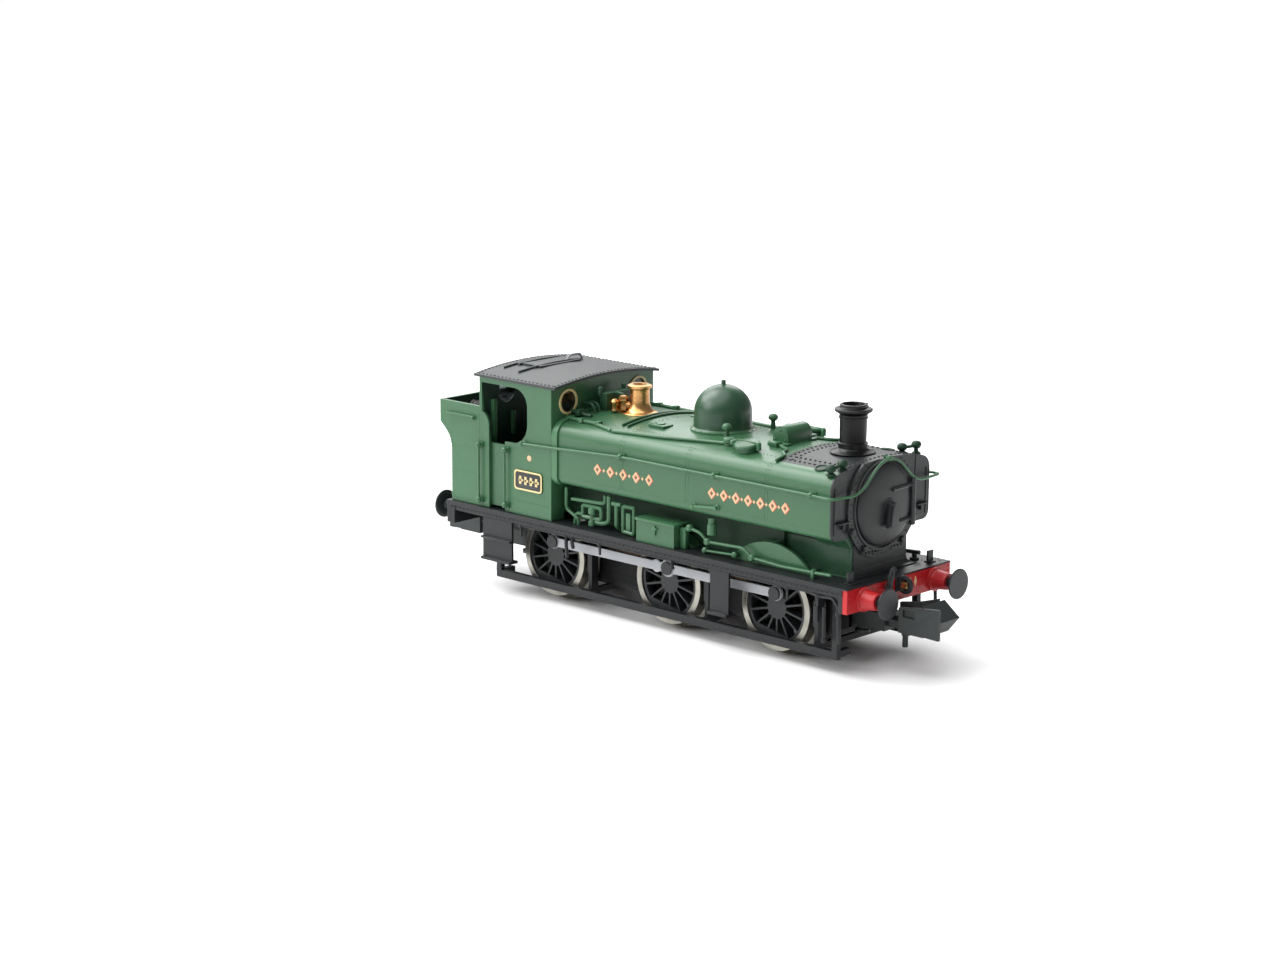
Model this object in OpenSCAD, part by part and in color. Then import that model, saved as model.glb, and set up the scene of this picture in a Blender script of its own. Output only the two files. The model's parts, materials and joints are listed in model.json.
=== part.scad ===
// Model of a 0-6-0 pannier tank steam locomotive, N gauge, 1:148 scale.
// +X points forward (chimney end), +Y to the locomotive's left, +Z up.
// Every module draws with X from the middle axle and Z from the rail top;
// place() moves the result to the origin under the middle of the overall box,
// level with the bottoms of the wheel flanges.

/* [Frames and running plate] */
// Front face of the front buffer beam, ahead of the middle axle
front_beam_x = 26.45; // [26:0.05:27]
// Rear face of the rear buffer beam, behind the middle axle (negative)
rear_beam_x = -31.3; // [-32:0.05:-31]
// Width over the running plate
plate_w = 17; // [16.8:0.1:17.4]
// Top of the running plate above the rail
plate_top = 9.05; // [9.05:0.05:9.15]
// Thickness of the running plate
plate_t = 0.55; // [0.5:0.05:0.6]
// Depth of the buffer beams
beam_h = 2.45; // [2.3:0.05:2.6]
// Height of the buffer centres above the rail
buffer_z = 7.62; // [7.5:0.02:7.7]
// Distance between buffer centres
buffer_gap = 11.5; // [11.2:0.1:11.8]
// Buffer face ahead of the beam
buffer_len = 3.18; // [3:0.02:3.3]

/* [Wheels] */
// Middle axle to front axle
front_base = 14.93; // [14.8:0.01:15]
// Middle axle to rear axle
rear_base = 16.99; // [16.9:0.01:17.1]
// Radius of the wheel tread
tread_r = 4.6; // [4.55:0.05:4.65]
// Depth of the wheel flange below the rail top
flange_d = 0.6; // [0.5:0.05:0.65]
// Distance between the backs of the tyres
back_to_back = 7.4; // [7.4:0.05:7.5]
// Width of a tyre with its flange
tyre_w = 2.05; // [1.9:0.05:2.1]
// Crank throw
throw = 1.7; // [1.6:0.05:1.75]
// Rest angle of the right-hand crank forward of straight up, degrees
crank_rest = 12; // [0:1:40]
// Number of spokes in each wheel
spokes = 14; // [12:1:16]

/* [Cab and bunker] */
// Front face of the cab
cab_front_x = -15.14; // [-15.2:0.02:-15.1]
// Back of the cab
cab_back_x = -26.3; // [-26.4:0.05:-26.2]
// Width over the cab sides
cab_w = 16.2; // [16:0.1:16.3]
// Thickness of the body sheets
sheet_t = 0.4; // [0.35:0.05:0.45]
// Height of the roof's eaves above the rail
eave_z = 23.94; // [23.8:0.02:24.1]
// Rise of the roof from eaves to middle
roof_rise = 0.7; // [0.6:0.05:0.9]
// Width over the roof
roof_w = 16.6; // [16.5:0.1:16.8]
// Top of the bunker above the rail
bunker_top = 20.3; // [20.1:0.1:20.5]
// Overhang of the bunker's rear above its lower part
bunker_flare = 1.85; // [1.7:0.05:1.9]

/* [Tanks, boiler and fittings] */
// Width over the pannier tanks
tank_w = 15.8; // [15.7:0.1:16]
// Underside of the tanks above the rail
tank_bottom = 13.3; // [13.2:0.05:13.4]
// Top of the tanks at the middle, above the rail
tank_top = 20.8; // [20.7:0.05:20.9]
// Front face of the tanks
tank_front_x = 23.75; // [23.6:0.05:23.8]
// Width of the smokebox
smokebox_w = 12.3; // [12.2:0.1:12.4]
// Back of the smokebox
smokebox_back_x = 15.2; // [15:0.1:15.3]
// Height of the smokebox door's centre above the rail
door_z = 16.05; // [16:0.05:16.2]
// Radius of the smokebox door
door_r = 4.35; // [4.2:0.05:4.4]
// Chimney position
chimney_x = 20; // [19.8:0.1:20.2]
// Chimney top above the rail
chimney_top = 25.8; // [25.3:0.1:25.9]
// Dome position
dome_x = 2.4; // [2.2:0.1:2.6]
// Dome radius
dome_r = 3.1; // [3:0.05:3.2]
// Dome top above the rail
dome_top = 25.5; // [25.2:0.1:25.6]
// Safety valve bonnet position
bonnet_x = -9.66; // [-9.8:0.02:-9.5]
// Safety valve bonnet top above the rail
bonnet_top = 23.9; // [23.6:0.1:24]

/* [Drive] */
// Tooth size of the gears (module)
gear_m = 0.3; // [0.3:0.01:0.31]
// Teeth on the axle gear and on the idler
teeth = 18; // [18:2:18]
// Pitch radius of the worm
worm_r = 1.2; // [1.2:0.05:1.25]
// Radius of the motor can
motor_r = 3.5; // [3.4:0.05:3.5]
// Radius of the axles
axle_r = 0.75; // [0.7:0.05:0.75]
// Running clearance on axles, pins and shafts
run = 0.04; // [0.03:0.01:0.06]

/* [Couplings] */
// Height of the coupling's lift pivot above the rail
coupling_z = 4.1; // [4:0.05:4.2]
// Reach of the coupling ahead of the beam
coupling_reach = 6.45; // [6.4:0.05:6.5]

/* [Hidden] */
$fn = 48;

// Colours
green = [0.22, 0.36, 0.24];
dark_grey = [0.2, 0.21, 0.23];
roof_grey = [0.36, 0.37, 0.4];
black = [0.12, 0.12, 0.13];
red = [0.7, 0.08, 0.08];
copper = [0.78, 0.45, 0.2];
brass = [0.8, 0.65, 0.3];
steel = [0.75, 0.74, 0.72];
cast = [0.45, 0.45, 0.47];
nylon = [0.9, 0.88, 0.8];

// Derived places
far = 80;
centre_x = (front_beam_x + coupling_reach + rear_beam_x - coupling_reach) / 2;
axle_z = tread_r;
axle_x = [front_base, 0, -rear_base];
plate_bottom = plate_top - plate_t;
beam_t = 0.6;
beam_top = plate_top - 0.15;
beam_bottom = beam_top - beam_h;
plate_half = plate_w / 2;
cab_half = cab_w / 2;
tank_half = tank_w / 2;
smokebox_half = smokebox_w / 2;
saddle_half = 4.3;
ring_r = 5.58;
tyre_back = back_to_back / 2;
tyre_face = tyre_back + tyre_w;
flange_r = tread_r + flange_d;
flange_t = 0.55;
rim_r = tread_r - 0.72;
centre_back = tyre_back + 0.65;
centre_face = tyre_face - 0.2;
axle_end = centre_face - 0.3;
pin_r = 0.35;
rod_back = tyre_face + 0.1;
rod_t = 0.45;
pin_face = rod_back + rod_t + 0.25;
well_r = flange_r + 0.35;
well_in = tyre_back - 0.25;
well_out = tyre_face + 0.3;
frame_half = 3.3;
frame_gap = 0.25;
hollow_half = 4.4;
hollow_top = 18;
cradle_half = motor_r + 0.2;
boiler_half = 4.9;
pitch_r = gear_m * teeth / 2;
idler_z = axle_z + 2 * pitch_r;
worm_z = idler_z + pitch_r + worm_r;
gear_w = 1.4;
shaft_r = 0.5;
motor_x = [4.5, 20.5];
roof_x = [-26.98, -14.4];
roof_t = 0.3;
roof_r = (pow(roof_w / 2, 2) + pow(roof_rise, 2)) / (2 * roof_rise);
roof_top = eave_z + roof_rise;
shoulder_r = 1.5;
foot_r = 0.9;
top_rise = 0.7;
top_half = tank_half - shoulder_r;
top_r = (pow(top_half, 2) + pow(top_rise, 2)) / (2 * top_rise);
top_cz = tank_top - top_r;
shoulder_z = top_cz + sqrt(pow(top_r - shoulder_r, 2) - pow(top_half, 2));
tank_back_x = cab_front_x;
floor_z = 10.1;
window_y = 5.54;
window_z = 22;
window_r = 1.15;
rail_y = tank_half + 0.48;
rail_z = 17.85;
rail_r = 0.14;
swing_x = -4.65;
screw_x = [-22.6, 18.2];

// Helpers
module place() { translate([-centre_x, 0, flange_d]) children(); }

// Box from its low corner to its high corner
module block(low, high) { translate(low) cube(high - low); }

// Box repeated on both sides of the locomotive, given for the left side
module side_block(low, high) {
    for (side = [0, 1]) mirror([0, side, 0]) block(low, high);
}

// Cylinder along Y from y0 to y1
module bar_y(x, z, r, y0, y1) {
    translate([x, y1, z]) rotate([90, 0, 0]) cylinder(r = r, h = y1 - y0);
}

// Cylinder along X from x0 to x1
module bar_x(y, z, r, x0, x1) {
    translate([x0, y, z]) rotate([0, 90, 0]) cylinder(r = r, h = x1 - x0);
}

// Cylinder along Z from z0 to z1
module bar_z(x, y, r, z0, z1) { translate([x, y, z0]) cylinder(r = r, h = z1 - z0); }

// Round bar between two points
module rod(a, b, r) {
    d = b - a;
    translate(a)
        rotate([0, acos(d[2] / norm(d)), atan2(d[1], d[0])])
            cylinder(r = r, h = norm(d));
}

// Flat shape in the X-Z plane made into a sheet from y0 to y1
module sheet_y(y0, y1) {
    translate([0, y1, 0]) rotate([90, 0, 0]) linear_extrude(y1 - y0) children();
}

// Flat shape in the Y-Z plane made into a sheet from x0 to x1
module sheet_x(x0, x1) {
    translate([x0, 0, 0]) rotate([90, 0, 90]) linear_extrude(x1 - x0) children();
}

// Rectangle with round corners
module round_rect(low, high, r) {
    translate([low[0] + r, low[1]]) square([high[0] - low[0] - 2 * r, high[1] - low[1]]);
    translate([low[0], low[1] + r]) square([high[0] - low[0], high[1] - low[1] - 2 * r]);
    for (x = [low[0] + r, high[0] - r], z = [low[1] + r, high[1] - r])
        translate([x, z]) circle(r = r);
}

// Clearance for the wheels through whatever stands over them
module wheel_wells(r = well_r, y0 = well_in, y1 = well_out) {
    for (x = axle_x, side = [0, 1]) mirror([0, side, 0]) bar_y(x, axle_z, r, y0, y1);
}

// Everything below the tanks' curved top: fittings are cut by it, to seat on it
module under_tank_top() { bar_x(0, top_cz, top_r, -20, 30, $fn = 180); }

// Section through both tanks and the casing between them, Y-Z plane
module tank_section() {
    translate([-tank_half, tank_bottom + foot_r]) square([tank_w, shoulder_z - tank_bottom - foot_r]);
    translate([foot_r - tank_half, tank_bottom]) square([tank_w - 2 * foot_r, 2 * foot_r]);
    for (side = [-1, 1]) translate([side * (tank_half - foot_r), tank_bottom + foot_r]) circle(r = foot_r);
    for (side = [-1, 1]) translate([side * top_half, shoulder_z]) circle(r = shoulder_r);
    intersection() {
        translate([0, top_cz]) circle(r = top_r, $fn = 180);
        translate([-top_half * top_r / (top_r - shoulder_r), shoulder_z - 1])
            square([2 * top_half * top_r / (top_r - shoulder_r), 5]);
    }
}

// ---- Chassis ----

// One half of the split metal chassis, for the left side
module chassis_half() {
    difference() {
        union() {
            block([rear_beam_x + 3, frame_gap, 5.6], [-20, frame_half, plate_bottom]);
            block([-22, frame_gap, 2.4], [20.2, frame_half, plate_bottom]);
            block([20, frame_gap, 5.6], [front_beam_x - 2.4, frame_half, plate_bottom]);
            block([-12, frame_gap, plate_bottom - 0.1], [21, frame_half, 10.3]);
            block([motor_x[0], frame_gap, 10.2], [21, cradle_half, worm_z - 0.8]);
            block([-4, frame_gap, 10.2], [4.1, frame_half, 11.6]);
            block([-12, frame_gap, 10.2], [-5, frame_half, 14.5]);
        }
        bar_x(0, worm_z, motor_r + 0.04, motor_x[0] - 1, motor_x[1]);
        block([-3.5, -1, 1.5], [3.5, gear_w / 2 + 0.25, 14]);
        for (x = axle_x) bar_y(x, axle_z, 1.3, -1, 5);
        bar_y(0, idler_z, 0.5, -1, 5);
        for (x = [-8, 8]) bar_y(x, 6.8, 0.6, -1, 5);
        for (x = screw_x) bar_z(x, 0, 0.65, 0, 12);
        for (x = [front_beam_x + swing_x, rear_beam_x - swing_x]) bar_z(x, 0, 0.5, 0, 12);
    }
}

module chassis_block_left() { color(cast) chassis_half(); }

module chassis_block_right() { color(cast) mirror([0, 1, 0]) chassis_half(); }

// Two cross screws, two body screws and the two coupling pivot screws
module chassis_screws() {
    color(steel) {
        for (x = [-8, 8]) bar_y(x, 6.8, 0.6, -frame_half, frame_half);
        for (x = screw_x) {
            bar_z(x, 0, 0.65, 1.95, plate_top - 0.15);
            bar_z(x, 0, 1.1, 1.5, 1.95);
        }
        for (x = [front_beam_x + swing_x, rear_beam_x - swing_x]) {
            bar_z(x, 0, 0.5, 2.6, plate_bottom);
            bar_z(x, 0, 0.8, 2.2, 2.6);
        }
    }
}

module axle_bushes() {
    color(brass)
        for (x = axle_x, side = [0, 1]) mirror([0, side, 0])
            difference() {
                bar_y(x, axle_z, 1.3, 2, frame_half);
                bar_y(x, axle_z, axle_r + run, 1, 5);
            }
}

module keeper_plate() {
    color(black)
        difference() {
            union() {
                block([-22, -frame_half, 1.95], [20.2, frame_half, 2.4]);
                for (x = screw_x) bar_z(x, 0, 1.5, 1.95, 2.4);
            }
            block([-3.5, -1, 1], [3.5, 1, 3]);
            for (x = screw_x) bar_z(x, 0, 0.65, 1, 4);
        }
}

// Brake hangers and blocks ahead of every wheel, with stays, pull rods and guard irons
module brake_gear() {
    color(black) {
        for (x = axle_x) {
            side_block([x + 5, 4.5, 1.2], [x + 5.5, 5.5, plate_bottom]);
            side_block([x + 4.85, 4.5, 3.4], [x + 5.1, 5.5, 6.2]);
            block([x + 5, -6.8, 1.1], [x + 5.5, 6.8, 1.7]);
        }
        side_block([-25, 6.2, 0.95], [24, 6.8, 1.8]);
        for (x = [-25, 23.3]) {
            side_block([x, 6.2, 1.2], [x + 0.7, 6.8, plate_bottom]);
            side_block([x, 4.6, 1.2], [x + 0.7, 6.3, 1.85]);
        }
    }
}

// Footsteps hanging from the running plate
module step_plates() {
    color(black) {
        for (x = [8.1, -25.7]) {
            w = x > 0 ? 2.6 : 4.6;
            side_block([x, 7.95, 3.5], [x + w, 8.25, plate_bottom - 0.55]);
            side_block([x, 7.85, 3.2], [x + w, 8.65, 3.5]);
            side_block([x, 7.3, 3.2], [x + w, 7.95, 3.5]);
        }
        side_block([-25.7, 8.25, 5.6], [-21.1, 8.65, 5.85]);
    }
}

module pickup_strips() {
    color(copper)
        for (side = [0, 1]) mirror([0, side, 0]) {
            difference() {
                block([-18.5, frame_half, 5.9], [17, frame_half + 0.12, 6.5]);
                for (x = axle_x) bar_y(x, axle_z, 1.6, 3, 5);
            }
        }
}

// ---- Motor and gears ----

module motor_can() {
    color(cast)
        difference() {
            bar_x(0, worm_z, motor_r, motor_x[0], motor_x[1]);
            bar_x(0, worm_z, motor_r - 0.4, motor_x[0] + 0.7, motor_x[1] - 0.7);
            bar_x(0, worm_z, shaft_r + run, motor_x[0] - 1, motor_x[1] + 1);
        }
}

module motor_armature() {
    color(copper) {
        bar_x(0, worm_z, shaft_r, -2.9, motor_x[1] + 0.2);
        bar_x(0, worm_z, motor_r - 0.9, motor_x[0] + 2, motor_x[1] - 4);
        bar_x(0, worm_z, 1.1, motor_x[1] - 4, motor_x[1] - 1.5);
    }
}

// Helical thread along X; each ring of four points is one step around the shaft
module worm_thread(x0, turns, pitch, root, crest) {
    steps = 20;
    count = turns * steps;
    base = pitch * 0.34;
    tip = pitch * 0.14;
    points = [
        for (i = [0 : count])
            let (a = 360 * i / steps - 90 - 360 * turns / 2, x = x0 + pitch * i / steps)
                for (p = [[-base, root], [-tip, crest], [tip, crest], [base, root]])
                    [x + p[0], p[1] * cos(a), p[1] * sin(a)]
    ];
    sides = [
        for (i = [0 : count - 1], k = [0 : 3])
            let (a = 4 * i + k, b = 4 * i + (k + 1) % 4)
                [a, b, b + 4, a + 4]
    ];
    polyhedron(points, concat(sides, [[3, 2, 1, 0], [for (k = [0 : 3]) 4 * count + k]]));
}

module worm() {
    pitch = PI * gear_m;
    turns = 5;
    color(brass)
        translate([0, 0, worm_z]) {
            difference() {
                bar_x(0, 0, worm_r - 0.35, -pitch * turns / 2 - 0.3, pitch * turns / 2 + 0.3);
                bar_x(0, 0, shaft_r, -5, 5);
            }
            worm_thread(-pitch * turns / 2, turns, pitch, worm_r - 0.38, worm_r + 0.22);
        }
}

// Spur gear in the X-Z plane with a tooth at the top, turned by the given angle
module spur(angle, hole) {
    step = 360 / teeth;
    profile = [[-0.29, -0.4], [-0.18, 0], [-0.1, 0.22], [0.1, 0.22], [0.18, 0], [0.29, -0.4]];
    difference() {
        rotate([90, 0, 0]) translate([0, 0, -gear_w / 2]) linear_extrude(gear_w)
            rotate(angle)
                polygon([
                    for (i = [0 : teeth - 1], p = profile)
                        let (a = 90 - i * step, r = pitch_r + p[1])
                            [r * cos(a) + p[0] * sin(a), r * sin(a) - p[0] * cos(a)]
                ]);
        bar_y(0, 0, hole, -5, 5);
    }
}

module drive_gear() { color(nylon) translate([0, 0, axle_z]) spur(0, axle_r); }

module idler_gear() { color(nylon) translate([0, 0, idler_z]) spur(180 / teeth, 0.5 + run); }

module idler_pin() { color(steel) bar_y(0, idler_z, 0.5, -frame_half, frame_half); }

module circuit_board() {
    color([0.1, 0.35, 0.25]) {
        block([-13.4, -3.8, 14.5], [-3.6, 3.8, 15.2]);
        block([-12, -2, 15.1], [-8.5, 2, 16]);
        block([-7, -1.2, 15.1], [-5, 1.2, 15.8]);
    }
}

// ---- Running plate and beams ----

module running_plate() {
    color(black)
        difference() {
            union() {
                block([rear_beam_x, -plate_half, plate_bottom], [front_beam_x, plate_half, plate_top]);
                side_block([rear_beam_x + beam_t, plate_half - 0.5, plate_bottom - 0.55],
                           [front_beam_x - beam_t, plate_half - 0.2, plate_bottom]);
                for (x = [rear_beam_x + beam_t, front_beam_x - 2 * beam_t])
                    block([x, -plate_half + 0.1, beam_bottom], [x + beam_t, plate_half - 0.1, plate_bottom]);
            }
            for (x = [rear_beam_x - 1, front_beam_x - beam_t])
                block([x, -far, 0], [x + beam_t + 1, far, beam_top]);
            block([-12, -frame_half, 0], [21, frame_half, 12]);
            for (x = axle_x) side_block([x - 4, frame_half - 0.1, 7], [x + 4, well_out, 12]);
            for (x = screw_x) bar_z(x, 0, 0.65, 0, plate_top - 0.15);
        }
}

// Buffer beam with its two buffer housings, facing +X from x = 0
module beam() {
    difference() {
        union() {
            block([-beam_t, -plate_half + 0.1, beam_bottom], [0, plate_half - 0.1, beam_top]);
            for (side = [-1, 1]) translate([0, side * buffer_gap / 2, buffer_z]) rotate([0, 90, 0]) {
                cylinder(r = 1.25, h = 0.3);
                cylinder(r1 = 1.1, r2 = 0.85, h = 1.9);
            }
        }
        for (side = [-1, 1]) bar_x(side * buffer_gap / 2, buffer_z, 0.5, 0.3, 3);
    }
}

module front_buffer_beam() { color(red) translate([front_beam_x, 0, 0]) beam(); }

module rear_buffer_beam() { color(black) translate([rear_beam_x, 0, 0]) mirror([1, 0, 0]) beam(); }

module buffer_heads() {
    color(dark_grey)
        for (x = [front_beam_x, rear_beam_x], side = [-1, 1])
            translate([x, side * buffer_gap / 2, buffer_z]) rotate([0, x > 0 ? 90 : -90, 0]) {
                translate([0, 0, 0.3]) cylinder(r = 0.5, h = buffer_len - 0.5);
                translate([0, 0, buffer_len - 0.4]) cylinder(r1 = 0.9, r2 = 1.6, h = 0.2);
                translate([0, 0, buffer_len - 0.2]) cylinder(r = 1.6, h = 0.2);
            }
}

// Dummy draw hook at the middle of each beam
module draw_hooks() {
    color(black)
        for (x = [front_beam_x, rear_beam_x]) translate([x, 0, 0]) mirror([x > 0 ? 0 : 1, 0, 0]) {
            block([0, -0.2, 7.9], [0.7, 0.2, 8.5]);
            difference() {
                bar_y(1, 8.1, 0.6, -0.2, 0.2);
                bar_y(1, 8.1, 0.28, -1, 1);
            }
        }
}

// ---- Body ----

module pannier_tanks() {
    color(green)
        difference() {
            union() {
                sheet_x(tank_back_x, smokebox_back_x) tank_section();
                difference() {
                    sheet_x(smokebox_back_x, tank_front_x) tank_section();
                    block([0, -smokebox_half, 0], [far, smokebox_half, far]);
                }
            }
            block([-14.6, -hollow_half, 0], [smokebox_back_x + 1, hollow_half, hollow_top]);
        }
}

// Firebox and boiler sides between the tanks and the running plate
module boiler() {
    color(green)
        difference() {
            side_block([cab_front_x, hollow_half, plate_top],
                       [smokebox_back_x, boiler_half, tank_bottom]);
            wheel_wells();
        }
}

// Smokebox wrapper between the tanks, barrel with its front ring, and saddle
module smokebox() {
    color(dark_grey)
        difference() {
            union() {
                intersection() {
                    union() {
                        block([smokebox_back_x, -smokebox_half, tank_bottom],
                              [tank_front_x, smokebox_half, 22]);
                        bar_x(0, door_z, ring_r, smokebox_back_x, tank_front_x + 0.33, $fn = 96);
                    }
                    under_tank_top();
                }
                block([smokebox_back_x, -saddle_half, plate_top],
                      [tank_front_x + 0.1, saddle_half, tank_bottom + 0.5]);
                // flared foot of the saddle
                difference() {
                    block([tank_front_x - 0.1, -saddle_half - 0.7, plate_top],
                          [tank_front_x + 0.8, saddle_half + 0.7, plate_top + 0.8]);
                    bar_y(tank_front_x + 0.8, plate_top + 0.8, 0.68, -far, far);
                    for (side = [-1, 1])
                        bar_x(side * (saddle_half + 0.7), plate_top + 0.8, 0.68, 0, 30);
                }
            }
            block([smokebox_back_x - 1, 0.4 - saddle_half, 0],
                  [tank_front_x - 1.4, saddle_half - 0.4, 13.6]);
            block([smokebox_back_x - 1, -hollow_half, 13.5], [tank_front_x - 1.4, hollow_half, hollow_top]);
            wheel_wells();
        }
}

module smokebox_door() {
    edge = 0.2;
    dish = 0.65;
    color(dark_grey)
        translate([tank_front_x + 0.33, 0, door_z]) rotate([0, 90, 0]) rotate_extrude()
            polygon(concat(
                [[0, 0], [door_r, 0]],
                [for (a = [0 : 10 : 90]) [door_r * cos(a), edge + dish * sin(a)]]));
}

// Two handles on the dart at the door's centre
module door_handles() {
    x0 = tank_front_x + 0.33 + 0.85;
    color(black) {
        bar_x(0, door_z, 0.3, x0, x0 + 0.7);
        block([x0 + 0.3, -0.15, door_z - 1.5], [x0 + 0.55, 0.15, door_z]);
        rod([x0 + 0.6, 0, door_z], [x0 + 0.6, -1, door_z - 1.2], 0.12);
    }
}

module chimney() {
    color(black)
        difference() {
            translate([chimney_x, 0, 0]) rotate_extrude() polygon(concat(
                [[0, 19.5], [2.1, 19.5], [2.1, tank_top - 0.25]],
                [for (a = [0 : 15 : 90]) [1.4 + 0.65 * (1 - sin(a)), tank_top + 0.9 - 0.95 * cos(a)]],
                [[1.3, chimney_top - 1.1], [1.55, chimney_top - 0.8], [1.92, chimney_top - 0.45],
                 [1.92, chimney_top - 0.2], [1.4, chimney_top], [0, chimney_top]]));
            under_tank_top();
            bar_z(chimney_x, 0, 0.95, tank_top + 0.8, far);
        }
}

module dome() {
    side_top = dome_top - dome_r * 0.95;
    color(green)
        difference() {
            translate([dome_x, 0, 0]) union() {
                rotate_extrude() polygon(concat(
                    [[0, 19.4], [3.45, 19.4], [3.45, tank_top - 0.3], [dome_r + 0.05, tank_top + 0.25]],
                    [for (a = [0 : 7.5 : 90]) [dome_r * cos(a), side_top + 0.95 * dome_r * sin(a)]]));
                cylinder(r = 0.25, h = dome_top + 0.45);
            }
            under_tank_top();
        }
}

module safety_valve_bonnet() {
    top = bonnet_top;
    color(copper)
        difference() {
            translate([bonnet_x, 0, 0]) rotate_extrude() polygon(concat(
                [[0, 19.5], [2, 19.5], [2, tank_top]],
                [for (a = [0 : 15 : 90]) [1.08 + 0.87 * (1 - sin(a)), tank_top + 1.4 - 1.35 * cos(a)]],
                [[1.05, top - 0.5], [1.33, top - 0.35], [1.33, top - 0.1], [1.1, top], [0, top]]));
            under_tank_top();
            bar_z(bonnet_x, 0, 0.75, top - 0.4, far);
        }
}

// Casing across the tank tops between dome and chimney
module top_feed_cover() {
    color(green)
        difference() {
            union() {
                block([11.2, -2.6, 19.5], [12.8, 2.6, 21.6]);
                bar_y(12, 21.6, 0.8, -2.6, 2.6);
            }
            under_tank_top();
        }
}

module tank_fillers() {
    color(green)
        for (side = [-1, 1]) difference() {
            union() {
                bar_z(10.4, side * 5.2, 1.2, 19, 20.85);
                block([8.6, side * 5.2 - 0.25, 20.85], [11.4, side * 5.2 + 0.25, 21.1]);
            }
            under_tank_top();
        }
}

// Mushroom ventilators on the tank tops
module tank_vents() {
    color(green)
        for (side = [-1, 1]) difference() {
            union() {
                bar_z(6.2, side * 3.7, 0.3, 19, 21.6);
                bar_z(6.2, side * 3.7, 0.55, 21.6, 22.1);
            }
            under_tank_top();
        }
}

// Knob that a handrail passes through
module knob(x, y, z) { block([x - 0.25, y - 0.24, z - 0.25], [x + 0.25, y + 0.24, z + 0.25]); }

// Long handrails along the tanks, each carried on its knobs
module tank_handrails() {
    color(green)
        for (side = [0, 1]) mirror([0, side, 0]) {
            bar_x(rail_y, rail_z, rail_r, -19.3, tank_front_x - 0.2);
            for (x = [-4.7, 8.5, 21.4]) {
                bar_y(x, rail_z, 0.2, tank_half, rail_y);
                knob(x, rail_y, rail_z);
            }
            bar_y(-19.3, rail_z, 0.2, cab_half, rail_y);
            knob(-19.3, rail_y, rail_z);
        }
}

// Upright handrails beside the cab entrances
module cab_handrails() {
    y = cab_half + 0.35;
    color(green)
        for (side = [0, 1], x = [-26.15, -22]) mirror([0, side, 0]) {
            bar_z(x, y, rail_r, 9.6, 16.5);
            for (z = [9.9, 16.2]) {
                bar_y(x, z, 0.18, cab_half, y);
                knob(x, y, z);
            }
        }
}

// Doorway and entrance in a cab side, X-Z plane
module doorway() {
    x = -18.84;
    z0 = 16.9;
    z1 = 23.05;
    low_r = 2.3;
    high_r = 2;
    translate([-24.8, z0]) square([x - low_r + 24.8, z1 - z0]);
    translate([x - low_r - 0.1, z0 + low_r]) square([low_r + 0.1, z1 - high_r - z0 - low_r]);
    translate([x - low_r - 0.1, z0 + low_r]) square([low_r - high_r + 0.1, z1 - z0 - low_r]);
    translate([x - low_r, z0 + low_r]) circle(r = low_r);
    translate([x - high_r, z1 - high_r]) circle(r = high_r);
    translate([-25.9, bunker_top]) square([3, z1 - bunker_top]);
    translate([-24.8, plate_top - 1]) square([2.5, 10]);
    // round shoulder of the bunker side sheet
    difference() {
        translate([-25.9, 18.3]) square([1.3, bunker_top - 18.3]);
        translate([-26.4, 18.3]) circle(r = 1.6);
        translate([-27, 18.3]) square([1.1, 1.6]);
    }
}

// Everything below the curved underside of the roof
module under_roof() {
    bar_x(0, roof_top - roof_r, roof_r - roof_t, -40, 0, $fn = 180);
}

module cab_shell() {
    color(green) {
        difference() {
            intersection() {
                block([cab_back_x, -cab_half, plate_top], [cab_front_x, cab_half, 25]);
                under_roof();
            }
            block([cab_back_x + sheet_t, sheet_t - cab_half, 0],
                  [cab_front_x - sheet_t, cab_half - sheet_t, far]);
            wheel_wells();
            sheet_y(-far, far) doorway();
            for (side = [-1, 1]) {
                bar_x(side * window_y, window_z, window_r, cab_front_x - 1, cab_front_x + 1);
                bar_x(side * 4.2, 21.6, 1.3, cab_back_x - 1, cab_back_x + 1);
            }
        }
        // low doors set behind the side sheets
        side_block([-25.1, cab_half - sheet_t - 0.3, plate_top + 0.3],
                   [-22, cab_half - sheet_t, 16.4]);
    }
}

module cab_roof() {
    color(roof_grey) {
        intersection() {
            block([roof_x[0], -roof_w / 2, 22], [roof_x[1], roof_w / 2, 26]);
            difference() {
                bar_x(0, roof_top - roof_r, roof_r, roof_x[0] - 1, roof_x[1] + 1, $fn = 180);
                under_roof();
            }
        }
        // runners of the sliding ventilator
        for (x = [-24.9, -22.4])
            intersection() {
                block([x, -3.6, 24], [x + 0.4, 3.6, 26]);
                difference() {
                    bar_x(0, roof_top - roof_r, roof_r + 0.25, -40, 0, $fn = 180);
                    under_roof();
                }
            }
    }
}

module window_glazing() {
    color([0.6, 0.7, 0.75, 0.4])
        for (side = [-1, 1]) {
            bar_x(side * window_y, window_z, window_r, cab_front_x - 0.3, cab_front_x - 0.1);
            bar_x(side * 4.2, 21.6, 1.3, cab_back_x + 0.1, cab_back_x + 0.3);
        }
}

module window_rims() {
    color(brass)
        for (side = [-1, 1]) difference() {
            bar_x(side * window_y, window_z, 1.42, cab_front_x, cab_front_x + 0.15);
            bar_x(side * window_y, window_z, window_r, cab_front_x - 1, cab_front_x + 1);
        }
}

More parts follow.
